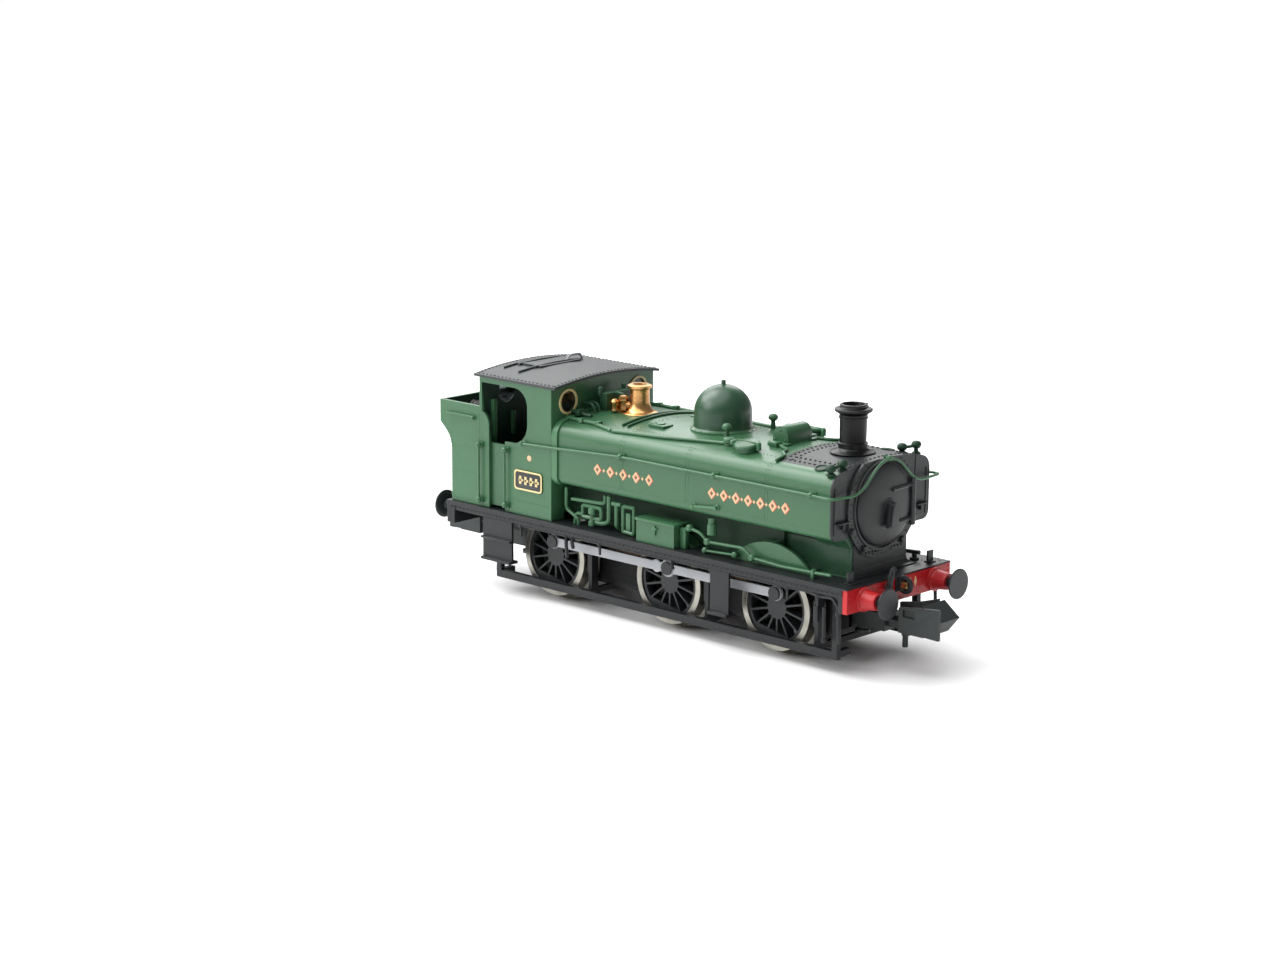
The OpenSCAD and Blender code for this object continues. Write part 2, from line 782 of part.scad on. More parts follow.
// Cab floor, boiler backhead and side lockers over the rear wheels
module cab_backhead() {
    x1 = cab_front_x - sheet_t;
    side = cab_half - sheet_t;
    color(dark_grey) {
        difference() {
            union() {
                block([cab_back_x + sheet_t, -side + 0.3, floor_z], [x1, side - 0.3, floor_z + 0.3]);
                side_block([-21.8, 4, floor_z], [x1, side, 12.2]);
            }
            wheel_wells();
        }
        sheet_x(x1 - 1.6, x1) round_rect([-3.2, floor_z + 0.2], [3.2, 19.4], 2.4);
        for (y = [-1.4, 0, 1.4]) bar_x(y, 17.6, 0.45, x1 - 1.9, x1 - 1.5);
        rod([x1 - 1.6, 0, 18.4], [x1 - 2.1, 1.6, 17.9], 0.14);
        bar_x(0, 14.2, 1, x1 - 1.8, x1 - 1.5);
    }
}

// Outline of the bunker's side, X-Z plane, drawn in by the given distance
module bunker_side(inset, top) {
    x0 = rear_beam_x + 0.5 + inset;
    r = 2.8;
    z0 = 14.9;
    polygon(concat(
        [[cab_back_x, plate_top], [x0, plate_top]],
        [for (a = [0 : 10 : 50]) [x0 - r + r * cos(a), z0 + r * sin(a)]],
        [[x0 - bunker_flare, 17.8], [x0 - bunker_flare, top], [cab_back_x, top]]));
}

module bunker() {
    color(green)
        difference() {
            sheet_y(-cab_half, cab_half) bunker_side(0, bunker_top);
            difference() {
                sheet_y(sheet_t - cab_half, cab_half - sheet_t) bunker_side(sheet_t, 30);
                block([-40, -far, 16.6], [0, far, 17]);
            }
        }
}

module coal_load() {
    side = cab_half - sheet_t;
    color(black)
        intersection() {
            sheet_y(-side, side) bunker_side(sheet_t, 30);
            block([-40, -far, 17], [cab_back_x, far, 30]);
            bar_x(0, 19.6 - 30, 30, -40, 0);
            bar_y(-28.8, 19.7 - 9, 9, -far, far);
        }
}

module toolboxes() {
    color(green)
        for (side = [0, 1]) mirror([0, side, 0]) {
            block([-2.6, 6.5, plate_top], [2.8, 8, plate_top + 2.55]);
            block([-2.7, 6.45, plate_top + 2.3], [2.9, 8.1, plate_top + 2.55]);
        }
}

// One arched wheel cover, hollow over the wheel and cut off at the running plate
module splasher(x, r, y_in, y_out) {
    difference() {
        bar_y(x, axle_z, r, y_in, y_out);
        bar_y(x, axle_z, well_r, 0, y_out - 0.3);
        block([-far, -far, -far], [far, far, plate_top]);
    }
}

module splashers() {
    color(green)
        for (side = [0, 1]) mirror([0, side, 0]) {
            difference() {
                splasher(front_base, 7, boiler_half, 6.6);
                block([smokebox_back_x, -far, 0], [far, smokebox_half, far]);
            }
            splasher(0, 6, boiler_half, 6.4);
        }
}

// Injector, feed pipes and reversing rod under the tanks
module side_pipework() {
    z0 = plate_top;
    z1 = tank_bottom;
    knee_x = 12;
    color(green)
        for (side = [0, 1]) mirror([0, side, 0]) {
            // injector with its delivery pipe
            block([-10.9, 6.1, z0], [-8.6, 7.1, z0 + 1]);
            bar_z(-10.2, 6.6, 0.22, z0 + 0.9, 12.2);
            block([-10.5, 6.3, 12.1], [-9.9, 6.9, 12.7]);
            bar_x(6.6, 12.4, 0.22, -10, -7.2);
            block([-7.3, 6.3, 12.1], [-6.7, 6.9, 12.7]);
            bar_z(-7, 6.6, 0.22, z0, 12.2);
            for (x = [-5.6, -4.4, -3.4]) bar_z(x, 6.8, 0.25, z0, z1);
            // reversing rod, stepping down to clear the splasher
            bar_x(7.5, 10.6, 0.2, 3.2, knee_x);
            block([knee_x - 0.1, 7.2, z0 + 0.3], [knee_x + 0.4, 7.8, 10.9]);
            bar_x(7.5, z0 + 0.6, 0.2, knee_x + 0.3, 21.1);
            for (x = [6.6, 10.4]) block([x - 0.3, 7.2, z0], [x + 0.3, 7.8, 10.9]);
            block([20.8, 7.2, z0], [21.4, 7.8, z0 + 0.9]);
            bar_z(7, 5.8, 0.5, z0, z1);
        }
}

module number_plates() {
    color(brass)
        for (side = [0, 1]) mirror([0, side, 0]) difference() {
            sheet_y(cab_half, cab_half + 0.2) round_rect([-21.05, 11.65], [-16.68, 14.23], 0.4);
            sheet_y(cab_half + 0.1, cab_half + 1) round_rect([-20.8, 11.9], [-16.93, 13.98], 0.25);
        }
}

// ---- Wheelsets ----

// Crank pin offset from the axle: the right side leads, the left is a quarter turn on
function crank(side) =
    let (a = 90 - crank_rest + (side > 0 ? 90 : 0)) [throw * cos(a), throw * sin(a)];

module tyre(x, side) {
    y = side * tyre_back;
    translate([x, y, axle_z]) rotate([-side * 90, 0, 0]) rotate_extrude($fn = 96)
        polygon([[rim_r, 0], [flange_r - 0.15, 0], [flange_r, 0.15], [flange_r, 0.35],
                 [tread_r + 0.12, flange_t], [tread_r, flange_t + 0.1], [tread_r - 0.05, tyre_w],
                 [rim_r, tyre_w]]);
}

module tyres(x) { color(steel) for (side = [-1, 1]) tyre(x, side); }

// Spoked centre with hub, crank boss and balance weight, in the wheel's own X-Z plane
module centre_profile(side) {
    pin = crank(side);
    angle = atan2(pin[1], pin[0]);
    difference() {
        union() {
            difference() {
                circle(r = rim_r, $fn = 96);
                circle(r = rim_r - 0.4, $fn = 96);
            }
            for (i = [0 : spokes - 1]) rotate(angle + (i + 0.5) * 360 / spokes)
                translate([0, -0.11]) square([rim_r - 0.2, 0.22]);
            circle(r = 1.25);
            rotate(angle) translate([0, -0.85]) square([throw, 1.7]);
            translate(pin) circle(r = 0.85);
            // balance weight opposite the crank
            intersection() {
                circle(r = rim_r - 0.1, $fn = 96);
                rotate(angle + 180) translate([2.6, -2]) square([3, 4]);
            }
        }
        translate(pin) circle(r = pin_r);
    }
}

module wheel_centres(x) {
    color(black)
        difference() {
            for (side = [-1, 1])
                translate([x, 0, axle_z])
                    sheet_y(side > 0 ? centre_back : -centre_face, side > 0 ? centre_face : -centre_back)
                        centre_profile(side);
            bar_y(x, axle_z, axle_r, -axle_end, axle_end);
        }
}

module axle(x) { color(steel) bar_y(x, axle_z, axle_r, -axle_end, axle_end); }

module crank_pins(x) {
    color(dark_grey)
        for (side = [0, 1]) {
            pin = crank(side * 2 - 1);
            mirror([0, 1 - side, 0]) {
                bar_y(x + pin[0], axle_z + pin[1], pin_r, centre_back, pin_face);
                bar_y(x + pin[0], axle_z + pin[1], 0.72, rod_back + rod_t + 0.05, pin_face);
            }
        }
}

module front_tyres() { tyres(axle_x[0]); }
module front_wheel_centres() { wheel_centres(axle_x[0]); }
module front_axle() { axle(axle_x[0]); }
module front_crank_pins() { crank_pins(axle_x[0]); }
module middle_tyres() { tyres(axle_x[1]); }
module middle_wheel_centres() { wheel_centres(axle_x[1]); }
module middle_axle() { axle(axle_x[1]); }
module middle_crank_pins() { crank_pins(axle_x[1]); }
module rear_tyres() { tyres(axle_x[2]); }
module rear_wheel_centres() { wheel_centres(axle_x[2]); }
module rear_axle() { axle(axle_x[2]); }
module rear_crank_pins() { crank_pins(axle_x[2]); }

// Coupling rod linking the three crank pins on one side (side = 1 is the left)
module coupling_rod(side) {
    pin = crank(side);
    y0 = side > 0 ? rod_back : -rod_back - rod_t;
    color(steel)
        translate([pin[0], 0, axle_z + pin[1]])
            sheet_y(y0, y0 + rod_t)
                difference() {
                    union() {
                        translate([-rear_base, -0.5]) square([front_base + rear_base, 1]);
                        for (x = axle_x) translate([x, 0]) circle(r = x == 0 ? 0.95 : 0.8);
                        translate([-1.6, 0]) circle(r = 0.7);
                    }
                    for (x = axle_x) translate([x, 0]) circle(r = pin_r + run + 0.02);
                }
}

module right_coupling_rod() { coupling_rod(-1); }
module left_coupling_rod() { coupling_rod(1); }

// ---- Couplings ----

// Hook coupling facing +X from the beam face at x = 0; it swings on an upright pivot
module coupling() {
    z = coupling_z;
    tip = coupling_reach;
    color(dark_grey)
        difference() {
            union() {
                bar_z(swing_x, 0, 1.2, z - 0.9, z + 0.9);
                block([swing_x, -1.2, z - 0.9], [-0.9, 1.2, z + 0.9]);
                block([-1, -0.8, z - 0.4], [2, 0.8, z + 0.4]);
                // right-hand cheek
                sheet_y(-1.95, -1.55) polygon([
                    [1.45, z - 0.2], [tip, z - 0.4], [tip, z + 2.8], [3, z + 2.45], [1.45, z + 2.2]]);
                // left-hand cheek
                sheet_y(1.55, 1.95) polygon([
                    [-1.1, z + 0.9], [1.45, z + 0.9], [1.45, z - 0.35], [3.7, z - 0.35],
                    [3.7, z + 2.83], [1.2, z + 2.05], [-1.1, z + 1.65]]);
                // sloping nose
                sheet_y(-1.7, 1.95) polygon([
                    [3.6, z + 0.6], [4, z - 0.35], [4.8, z - 0.35], [tip - 0.25, z + 1.3], [4.25, z + 2.8]]);
                block([1.45, -1.95, z - 0.4], [4.6, 1.95, z + 0.15]);
                block([1.45, -1.95, z - 0.4], [1.95, 1.95, z + 0.9]);
                bar_z(0.9, 0, 0.3, 1.7, z - 0.3);
            }
            bar_z(swing_x, 0, 0.5 + run, 0, 20);
            // recess in the right-hand cheek
            block([2, -3, z + 1.3], [3.5, -1.75, z + 2.1]);
        }
}

module front_coupling() { translate([front_beam_x, 0, 0]) coupling(); }
module rear_coupling() { translate([rear_beam_x, 0, 0]) mirror([1, 0, 0]) coupling(); }

place() chassis_block_left();
place() chassis_block_right();
place() chassis_screws();
place() axle_bushes();
place() keeper_plate();
place() brake_gear();
place() step_plates();
place() pickup_strips();
place() motor_can();
place() circuit_board();
place() idler_pin();
place() running_plate();
place() front_buffer_beam();
place() rear_buffer_beam();
place() buffer_heads();
place() draw_hooks();
place() pannier_tanks();
place() boiler();
place() smokebox();
place() smokebox_door();
place() door_handles();
place() chimney();
place() dome();
place() safety_valve_bonnet();
place() top_feed_cover();
place() tank_fillers();
place() tank_vents();
place() tank_handrails();
place() cab_handrails();
place() cab_shell();
place() cab_roof();
place() window_glazing();
place() window_rims();
place() cab_backhead();
place() bunker();
place() coal_load();
place() toolboxes();
place() splashers();
place() side_pipework();
place() number_plates();
place() front_tyres();
place() front_wheel_centres();
place() front_axle();
place() front_crank_pins();
place() middle_tyres();
place() middle_wheel_centres();
place() middle_axle();
place() middle_crank_pins();
place() drive_gear();
place() rear_tyres();
place() rear_wheel_centres();
place() rear_axle();
place() rear_crank_pins();
place() idler_gear();
place() motor_armature();
place() worm();
place() right_coupling_rod();
place() left_coupling_rod();
place() front_coupling();
place() rear_coupling();
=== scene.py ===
"""Looks for the N gauge six-coupled pannier tank locomotive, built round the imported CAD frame."""
import json
import random
from math import asin, cos, pi, radians, sin, sqrt

import bmesh
import bpy
from mathutils import Matrix, Vector


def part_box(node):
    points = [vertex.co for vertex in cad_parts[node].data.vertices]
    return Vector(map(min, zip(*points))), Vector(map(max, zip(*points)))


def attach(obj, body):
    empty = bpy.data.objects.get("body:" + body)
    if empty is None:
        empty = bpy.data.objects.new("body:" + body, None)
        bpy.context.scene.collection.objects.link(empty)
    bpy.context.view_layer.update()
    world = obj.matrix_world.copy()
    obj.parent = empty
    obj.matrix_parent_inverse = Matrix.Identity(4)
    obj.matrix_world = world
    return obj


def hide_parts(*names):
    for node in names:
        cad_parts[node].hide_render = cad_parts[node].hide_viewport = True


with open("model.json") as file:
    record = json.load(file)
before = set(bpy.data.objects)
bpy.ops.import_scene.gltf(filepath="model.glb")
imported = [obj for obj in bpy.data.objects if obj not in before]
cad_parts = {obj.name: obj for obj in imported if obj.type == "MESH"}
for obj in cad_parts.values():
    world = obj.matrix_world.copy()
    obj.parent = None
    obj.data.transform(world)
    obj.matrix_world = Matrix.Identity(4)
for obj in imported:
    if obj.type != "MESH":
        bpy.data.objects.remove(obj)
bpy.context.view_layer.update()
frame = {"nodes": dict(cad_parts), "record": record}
nodes = frame["nodes"]

# Lengths are in millimetres, from an origin under the middle axle on the rail top.
MM = 0.001
AXLE_Z = 4.6
axle_low, axle_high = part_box("middle_axle")
ORIGIN = Vector(((axle_low.x + axle_high.x) / 2, 0, (axle_low.z + axle_high.z) / 2 - AXLE_Z * MM))
SIDES = (-1, 1)
UP = (0, 0, 1)
FORWARD = (1, 0, 0)
BACKWARD = (-1, 0, 0)


# --- materials
def new_material(name, colour, rough, metal=0.0, gloss=0.5):
    material = bpy.data.materials.new(name)
    material.use_nodes = True
    shader = material.node_tree.nodes["Principled BSDF"]
    shader.inputs["Base Color"].default_value = (*colour, 1)
    shader.inputs["Roughness"].default_value = rough
    shader.inputs["Metallic"].default_value = metal
    shader.inputs["Specular IOR Level"].default_value = gloss
    return material, material.node_tree, shader


def noise(tree, scale, detail=4.0, rough=0.55):
    coords = tree.nodes.new("ShaderNodeTexCoord")
    texture = tree.nodes.new("ShaderNodeTexNoise")
    texture.inputs["Scale"].default_value = scale
    texture.inputs["Detail"].default_value = detail
    texture.inputs["Roughness"].default_value = rough
    tree.links.new(coords.outputs["Object"], texture.inputs["Vector"])
    return texture


def ramp(tree, source, low, high, start=0.35, end=0.65):
    """Colours from low to high as the source goes from start to end."""
    node = tree.nodes.new("ShaderNodeValToRGB")
    node.color_ramp.elements[0].position = start
    node.color_ramp.elements[1].position = end
    node.color_ramp.elements[0].color = (*low, 1)
    node.color_ramp.elements[1].color = (*high, 1)
    tree.links.new(source, node.inputs["Fac"])
    return node


def tint(colour, gain):
    return tuple(min(1, c * gain) for c in colour)


def bump(tree, shader, source, distance, strength=1.0):
    node = tree.nodes.new("ShaderNodeBump")
    node.inputs["Distance"].default_value = distance
    node.inputs["Strength"].default_value = strength
    tree.links.new(source, node.inputs["Height"])
    tree.links.new(node.outputs["Normal"], shader.inputs["Normal"])


def painted(name, colour, rough, spread=0.12, grain=0.004, edge_gain=1.45, gloss=0.5):
    """Sprayed paint on a moulding: mottled tone, fine speckle, slightly lighter convex edges."""
    material, tree, shader = new_material(name, colour, rough, 0.0, gloss)
    broad = noise(tree, 160, 3)
    fine = noise(tree, 9000, 2, 0.7)
    tone = ramp(tree, broad.outputs["Fac"], tint(colour, 1 - spread), tint(colour, 1 + spread), 0.3, 0.7)
    geometry = tree.nodes.new("ShaderNodeNewGeometry")
    edge = ramp(tree, geometry.outputs["Pointiness"], (0, 0, 0), (1, 1, 1), 0.52, 0.62)
    edge_mix = tree.nodes.new("ShaderNodeMix")
    edge_mix.data_type = "RGBA"
    tree.links.new(edge.outputs["Color"], edge_mix.inputs["Factor"])
    tree.links.new(tone.outputs["Color"], edge_mix.inputs["A"])
    edge_mix.inputs["B"].default_value = (*tint(colour, edge_gain), 1)
    tree.links.new(edge_mix.outputs["Result"], shader.inputs["Base Color"])
    shine = ramp(tree, fine.outputs["Fac"], (rough - 0.08,) * 3, (rough + 0.08,) * 3, 0.3, 0.7)
    tree.links.new(shine.outputs["Color"], shader.inputs["Roughness"])
    bump(tree, shader, fine.outputs["Fac"], grain * MM)
    return material


def turned(name, colour, rough, axis=1, grain=0.006):
    """Turned or drawn metal: fine lines round one axis, with cloudy tarnish."""
    material, tree, shader = new_material(name, colour, rough, 1.0)
    cloud = noise(tree, 500, 5)
    tone = ramp(tree, cloud.outputs["Fac"], tint(colour, 0.72), tint(colour, 1.08))
    tree.links.new(tone.outputs["Color"], shader.inputs["Base Color"])
    coords = tree.nodes.new("ShaderNodeTexCoord")
    stretch = tree.nodes.new("ShaderNodeMapping")
    scale = [300.0, 300.0, 300.0]
    scale[axis] = 16000.0
    stretch.inputs["Scale"].default_value = scale
    lines = tree.nodes.new("ShaderNodeTexNoise")
    lines.inputs["Scale"].default_value = 1.0
    lines.inputs["Detail"].default_value = 3.0
    tree.links.new(coords.outputs["Object"], stretch.inputs["Vector"])
    tree.links.new(stretch.outputs["Vector"], lines.inputs["Vector"])
    shine = ramp(tree, lines.outputs["Fac"], (rough * 0.8,) * 3, (min(1, rough * 1.35),) * 3)
    tree.links.new(shine.outputs["Color"], shader.inputs["Roughness"])
    bump(tree, shader, lines.outputs["Fac"], grain * MM, 0.6)
    return material


def glazing(name):
    """Dark tinted clear plastic with faint smears."""
    material, tree, shader = new_material(name, (0.12, 0.14, 0.14), 0.06)
    shader.inputs["Transmission Weight"].default_value = 1.0
    shader.inputs["IOR"].default_value = 1.49
    smear = noise(tree, 700, 4)
    shine = ramp(tree, smear.outputs["Fac"], (0.03,) * 3, (0.14,) * 3)
    tree.links.new(shine.outputs["Color"], shader.inputs["Roughness"])
    return material


def broken_coal(name):
    """Black lumps whose facets differ in tone and shine."""
    material, tree, shader = new_material(name, (0.012, 0.012, 0.013), 0.35)
    facets = tree.nodes.new("ShaderNodeTexVoronoi")
    facets.inputs["Scale"].default_value = 2600
    coords = tree.nodes.new("ShaderNodeTexCoord")
    tree.links.new(coords.outputs["Object"], facets.inputs["Vector"])
    tone = ramp(tree, facets.outputs["Distance"], (0.006,) * 3, (0.034, 0.034, 0.036), 0.1, 0.7)
    tree.links.new(tone.outputs["Color"], shader.inputs["Base Color"])
    shine = ramp(tree, facets.outputs["Distance"], (0.2,) * 3, (0.6,) * 3, 0.1, 0.6)
    tree.links.new(shine.outputs["Color"], shader.inputs["Roughness"])
    bump(tree, shader, facets.outputs["Distance"], 0.06 * MM, 0.8)
    return material


# Each paint gives its colour, roughness, mottling, grain, edge lightening and gloss.
M = {
    "green": painted("satin_green_paint", (0.031, 0.094, 0.043), 0.34, 0.07, 0.004, 1.45, 0.4),
    "black": painted("satin_black_plastic", (0.007, 0.008, 0.009), 0.42, 0.2, 0.006, 1.45, 0.35),
    "smoke": painted("matt_smokebox_paint", (0.011, 0.013, 0.014), 0.44, 0.18, 0.007, 1.45, 0.4),
    "stack": painted("chimney_black_paint", (0.002, 0.0023, 0.0025), 0.34, 0.2, 0.006, 1.45, 0.25),
    "roof": painted("matt_roof_paint", (0.030, 0.034, 0.035), 0.46, 0.16, 0.008, 1.45, 0.3),
    "red": painted("satin_red_paint", (0.38, 0.010, 0.013), 0.38, 0.10, 0.004, 1.2, 0.4),
    "buffer": painted("dulled_buffer_metal", (0.014, 0.017, 0.019), 0.40, 0.15, 0.005, 1.45, 0.4),
    "rod": painted("dulled_rod_metal", (0.30, 0.31, 0.33), 0.34, 0.08, 0.004, 1.25),
    "gold": painted("gold_mark_paint", (0.44, 0.27, 0.15), 0.42, 0.10),
    "shade": painted("red_mark_paint", (0.30, 0.030, 0.022), 0.42, 0.10),
    "plate": painted("black_plate_paint", (0.014, 0.015, 0.016), 0.40, 0.2),
    "coupling": painted("coupling_plastic", (0.013, 0.017, 0.017), 0.46, 0.12, 0.006, 1.45, 0.4),
    "copper": turned("polished_copper", (0.62, 0.34, 0.13), 0.30, 2, 0.004),
    "brass": turned("polished_brass", (0.78, 0.56, 0.22), 0.30, 1, 0.003),
    "gilt": painted("gilt_trim_paint", (0.52, 0.42, 0.20), 0.36, 0.10, 0.003, 1.3),
    "steel": turned("bright_steel", (0.62, 0.62, 0.62), 0.30, 1, 0.004),
    "tyre": turned("turned_tyre_metal", (0.33, 0.32, 0.28), 0.34, 1, 0.004),
    "bronze": turned("pickup_bronze", (0.05, 0.034, 0.022), 0.42, 0, 0.003),
    "winding": turned("varnished_winding", (0.48, 0.20, 0.09), 0.40, 0, 0.020),
    "cast": painted("blackened_cast_metal", (0.008, 0.008, 0.009), 0.55, 0.18, 0.012, 1.5, 0.2),
    # Also serves as painted shade on the cab's, bunker's and roof's inner faces.
    "cab": painted("cab_interior_and_shade_plastic", (0.010, 0.028, 0.017), 0.55, 0.15, 0.008, 1.45, 0.3),
    "nylon": painted("gear_nylon", (0.62, 0.60, 0.53), 0.45, 0.05, 0.004, 1.1),
    "board": painted("circuit_board", (0.015, 0.12, 0.06), 0.35, 0.10, 0.004, 1.2),
    "wheel": painted("wheel_centre_plastic", (0.012, 0.014, 0.015), 0.46, 0.2, 0.006, 1.45, 0.4),
    # A darker copy of the green that stands for painted shade on the dome.
    "dome": painted("shaded_dome_green_paint", (0.017, 0.058, 0.027), 0.34, 0.07, 0.003),
    # A darker copy of the green that stands for painted shade, on the front tank fittings.
    "fittings_in_shade": painted("painted_shade_fitting_green", (0.009, 0.030, 0.015), 0.45, 0.08, 0.004, 1.35, 0.25),
    # A darker copy of the green that stands for painted shade, on the saddle sides and the cab-front
    # pipes.
    "green_in_shade": painted("painted_shade_green_paint", (0.017, 0.056, 0.027), 0.42, 0.08, 0.004, 1.35, 0.35),
    "under": painted("shaded_green_paint", (0.010, 0.032, 0.016), 0.5, 0.12, 0.004, 1.45, 0.25),
    "glass": glazing("clear_glazing"),
    "coal": broken_coal("broken_coal"),
}

# The look of each CAD material slot.
SLOT_LOOK = {
    "cast_metal": "cast", "screw_steel": "steel", "bearing_brass": "brass", "black_plastic": "black",
    "pickup_bronze": "bronze", "motor_steel": "steel", "motor_copper": "winding", "rod_metal": "rod",
    "red_paint": "red", "buffer_metal": "buffer", "green_paint": "green", "smokebox_paint": "smoke",
    "copper_finish": "copper", "roof_paint": "roof", "clear_glazing": "glass", "brass_trim": "brass",
    "cab_interior": "cab", "coal": "coal", "tyre_metal": "tyre", "wheel_plastic": "wheel",
    "axle_steel": "steel", "gear_nylon": "nylon", "coupling_plastic": "coupling", "circuit_green": "board",
}


# --- dressing the CAD nodes
def dress(obj, look):
    obj.data.materials.clear()
    obj.data.materials.append(M[look])


def dress_inside(obj, low, high, look):
    """A second look for the faces whose middles lie between low and high."""
    obj.data.materials.append(M[look])
    for face in obj.data.polygons:
        middle = (face.center - ORIGIN) / MM
        if all(lo < c < hi for lo, c, hi in zip(low, middle, high)):
            face.material_index = len(obj.data.materials) - 1


def soften(obj, width):
    """Smooth shading over cleaned-up faces, with small rounded edges of this width."""
    weld = obj.modifiers.new("weld", "WELD")
    weld.merge_threshold = 1e-7
    flat = obj.modifiers.new("flat", "DECIMATE")
    flat.decimate_type = "DISSOLVE"
    flat.angle_limit = radians(0.6)
    flat.delimit = {"MATERIAL"}
    edge = obj.modifiers.new("edge", "BEVEL")
    edge.width = width * MM
    edge.segments = 2
    edge.limit_method = "ANGLE"
    edge.angle_limit = EDGE_ANGLE
    edge.use_clamp_overlap = True
    edge.harden_normals = False
    even = obj.modifiers.new("even", "WEIGHTED_NORMAL")
    even.keep_sharp = True


EDGE_ANGLE = radians(32)
FINE_EDGE = 0.03
SOFT_EDGE = {
    "cab_shell": 0.05, "cab_roof": 0.05, "bunker": 0.05, "running_plate": 0.05, "splashers": 0.06,
    "pannier_tanks": 0.06, "smokebox": 0.10, "toolboxes": 0.10, "buffer_heads": 0.08,
    "front_buffer_beam": 0.06, "rear_buffer_beam": 0.06, "brake_gear": 0.05, "step_plates": 0.05,
    "front_coupling": 0.10, "rear_coupling": 0.10, "right_coupling_rod": 0.06, "left_coupling_rod": 0.06,
    "top_feed_cover": 0.12, "tank_fillers": 0.06, "tank_vents": 0.05, "chimney": 0.05,
}
for sub in frame["record"]["subparts"]:
    part = nodes[sub["node"]]
    dress(part, SLOT_LOOK[sub["material_slot"]])
    bpy.context.view_layer.objects.active = part
    if part.data.has_custom_normals:
        bpy.ops.mesh.customdata_custom_splitnormals_clear()
    part.data.shade_smooth()
    part.data.set_sharp_from_angle(angle=EDGE_ANGLE)
    soften(part, SOFT_EDGE.get(sub["node"], FINE_EDGE))


# --- modelling helpers
def piece(name, bm, look, replaces=(), angle=38):
    """Turns a mesh drawn in millimetres into a finished piece that rides on the chassis."""
    bmesh.ops.recalc_face_normals(bm, faces=bm.faces)
    mesh = bpy.data.meshes.new(name)
    bm.to_mesh(mesh)
    bm.free()
    mesh.transform(Matrix.Translation(ORIGIN) @ Matrix.Scale(MM, 4))
    mesh.shade_smooth()
    mesh.set_sharp_from_angle(angle=radians(angle))
    obj = bpy.data.objects.new(name, mesh)
    bpy.context.scene.collection.objects.link(obj)
    mesh.materials.append(M[look])
    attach(obj, "chassis")
    if replaces:
        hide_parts(*replaces)


def merge(bm, other):
    """Adds the other mesh to this one and frees it."""
    mesh = bpy.data.meshes.new("scratch")
    other.to_mesh(mesh)
    other.free()
    bm.from_mesh(mesh)
    bpy.data.meshes.remove(mesh)


def turn(count):
    """Angles of equal steps round a full circle."""
    return [2 * pi * k / count for k in range(count)]


def arc(start, sweep, steps):
    """Angles in equal steps from start, both in degrees, over the sweep."""
    return [radians(start + sweep * i / steps) for i in range(steps + 1)]


def bridge(bm, first, second):
    """Joins two closed rings of as many corners with faces."""
    for i in range(len(first)):
        j = (i + 1) % len(first)
        bm.faces.new((first[i], first[j], second[j], second[i]))


def slab(bm, low, high, bevel=0.06):
    """A block between two corners with rounded edges."""
    part = bmesh.new()
    bmesh.ops.create_cube(part, size=1)
    for v in part.verts:
        v.co = Vector([(lo + hi) / 2 + c * abs(hi - lo) for lo, hi, c in zip(low, high, v.co)])
    bmesh.ops.bevel(part, geom=part.edges, offset=bevel, segments=2, profile=0.6, affect="EDGES")
    merge(bm, part)


def prism(bm, outline, axis, start, end, bevel=0.05):
    """Extrudes an outline, given in the two other axes' order, along axis from start to end."""
    part = bmesh.new()
    across, upward = [i for i in range(3) if i != axis]
    rings = []
    for level in (start, end):
        ring = []
        for a, b in outline:
            corner = [0.0, 0.0, 0.0]
            corner[axis] = level
            corner[across] = a
            corner[upward] = b
            ring.append(part.verts.new(corner))
        rings.append(ring)
        part.faces.new(ring)
    bridge(part, *rings)
    bmesh.ops.recalc_face_normals(part, faces=part.faces)
    if bevel:
        sharp = [e for e in part.edges if len(e.link_faces) == 2 and e.calc_face_angle() > 0.5]
        bmesh.ops.bevel(part, geom=sharp, offset=bevel, segments=2, profile=0.6, affect="EDGES")
    merge(bm, part)


def fillet(path, radius, steps=5):
    """The path with each inner corner rounded off."""
    points = [Vector(p) for p in path]
    rounded = [points[0]]
    for before, here, after in zip(points, points[1:], points[2:]):
        reach = min(radius, (before - here).length * 0.49, (after - here).length * 0.49)
        a = here + (before - here).normalized() * reach
        b = here + (after - here).normalized() * reach
        for i in range(steps + 1):
            t = i / steps
            rounded.append(a * (1 - t) ** 2 + here * 2 * t * (1 - t) + b * t * t)
    rounded.append(points[-1])
    return rounded


def tube(bm, path, radius, sides=10, bend=0.0):
    """A round bar along the path, with closed, slightly rounded ends."""
    points = fillet(path, bend) if bend else [Vector(p) for p in path]
    part = bmesh.new()
    ahead = (points[1] - points[0]).normalized()
    across = ahead.orthogonal().normalized()
    rings = []
    for i, p in enumerate(points):
        into = (p - points[i - 1]).normalized() if i else ahead
        out = (points[i + 1] - p).normalized() if i + 1 < len(points) else into
        along = (into + out).normalized()
        across = (across - along * across.dot(along)).normalized()
        over = along.cross(across)
        stretch = 1 / max(0.5, along.dot(out)) if 0 < i < len(points) - 1 else 1
        rings.append([part.verts.new(p + (across * cos(a) + over * sin(a)) * radius * stretch)
                      for a in turn(sides)])
    for first, second in zip(rings, rings[1:]):
        bridge(part, first, second)
    for ring, way in ((rings[0], points[0] - points[1]), (rings[-1], points[-1] - points[-2])):
        middle = sum((v.co for v in ring), Vector()) / sides
        tip = middle + way.normalized() * radius * 0.35
        cap = [part.verts.new(tip + (v.co - middle) * 0.6) for v in ring]
        bridge(part, ring, cap)
        part.faces.new(cap)
    merge(bm, part)


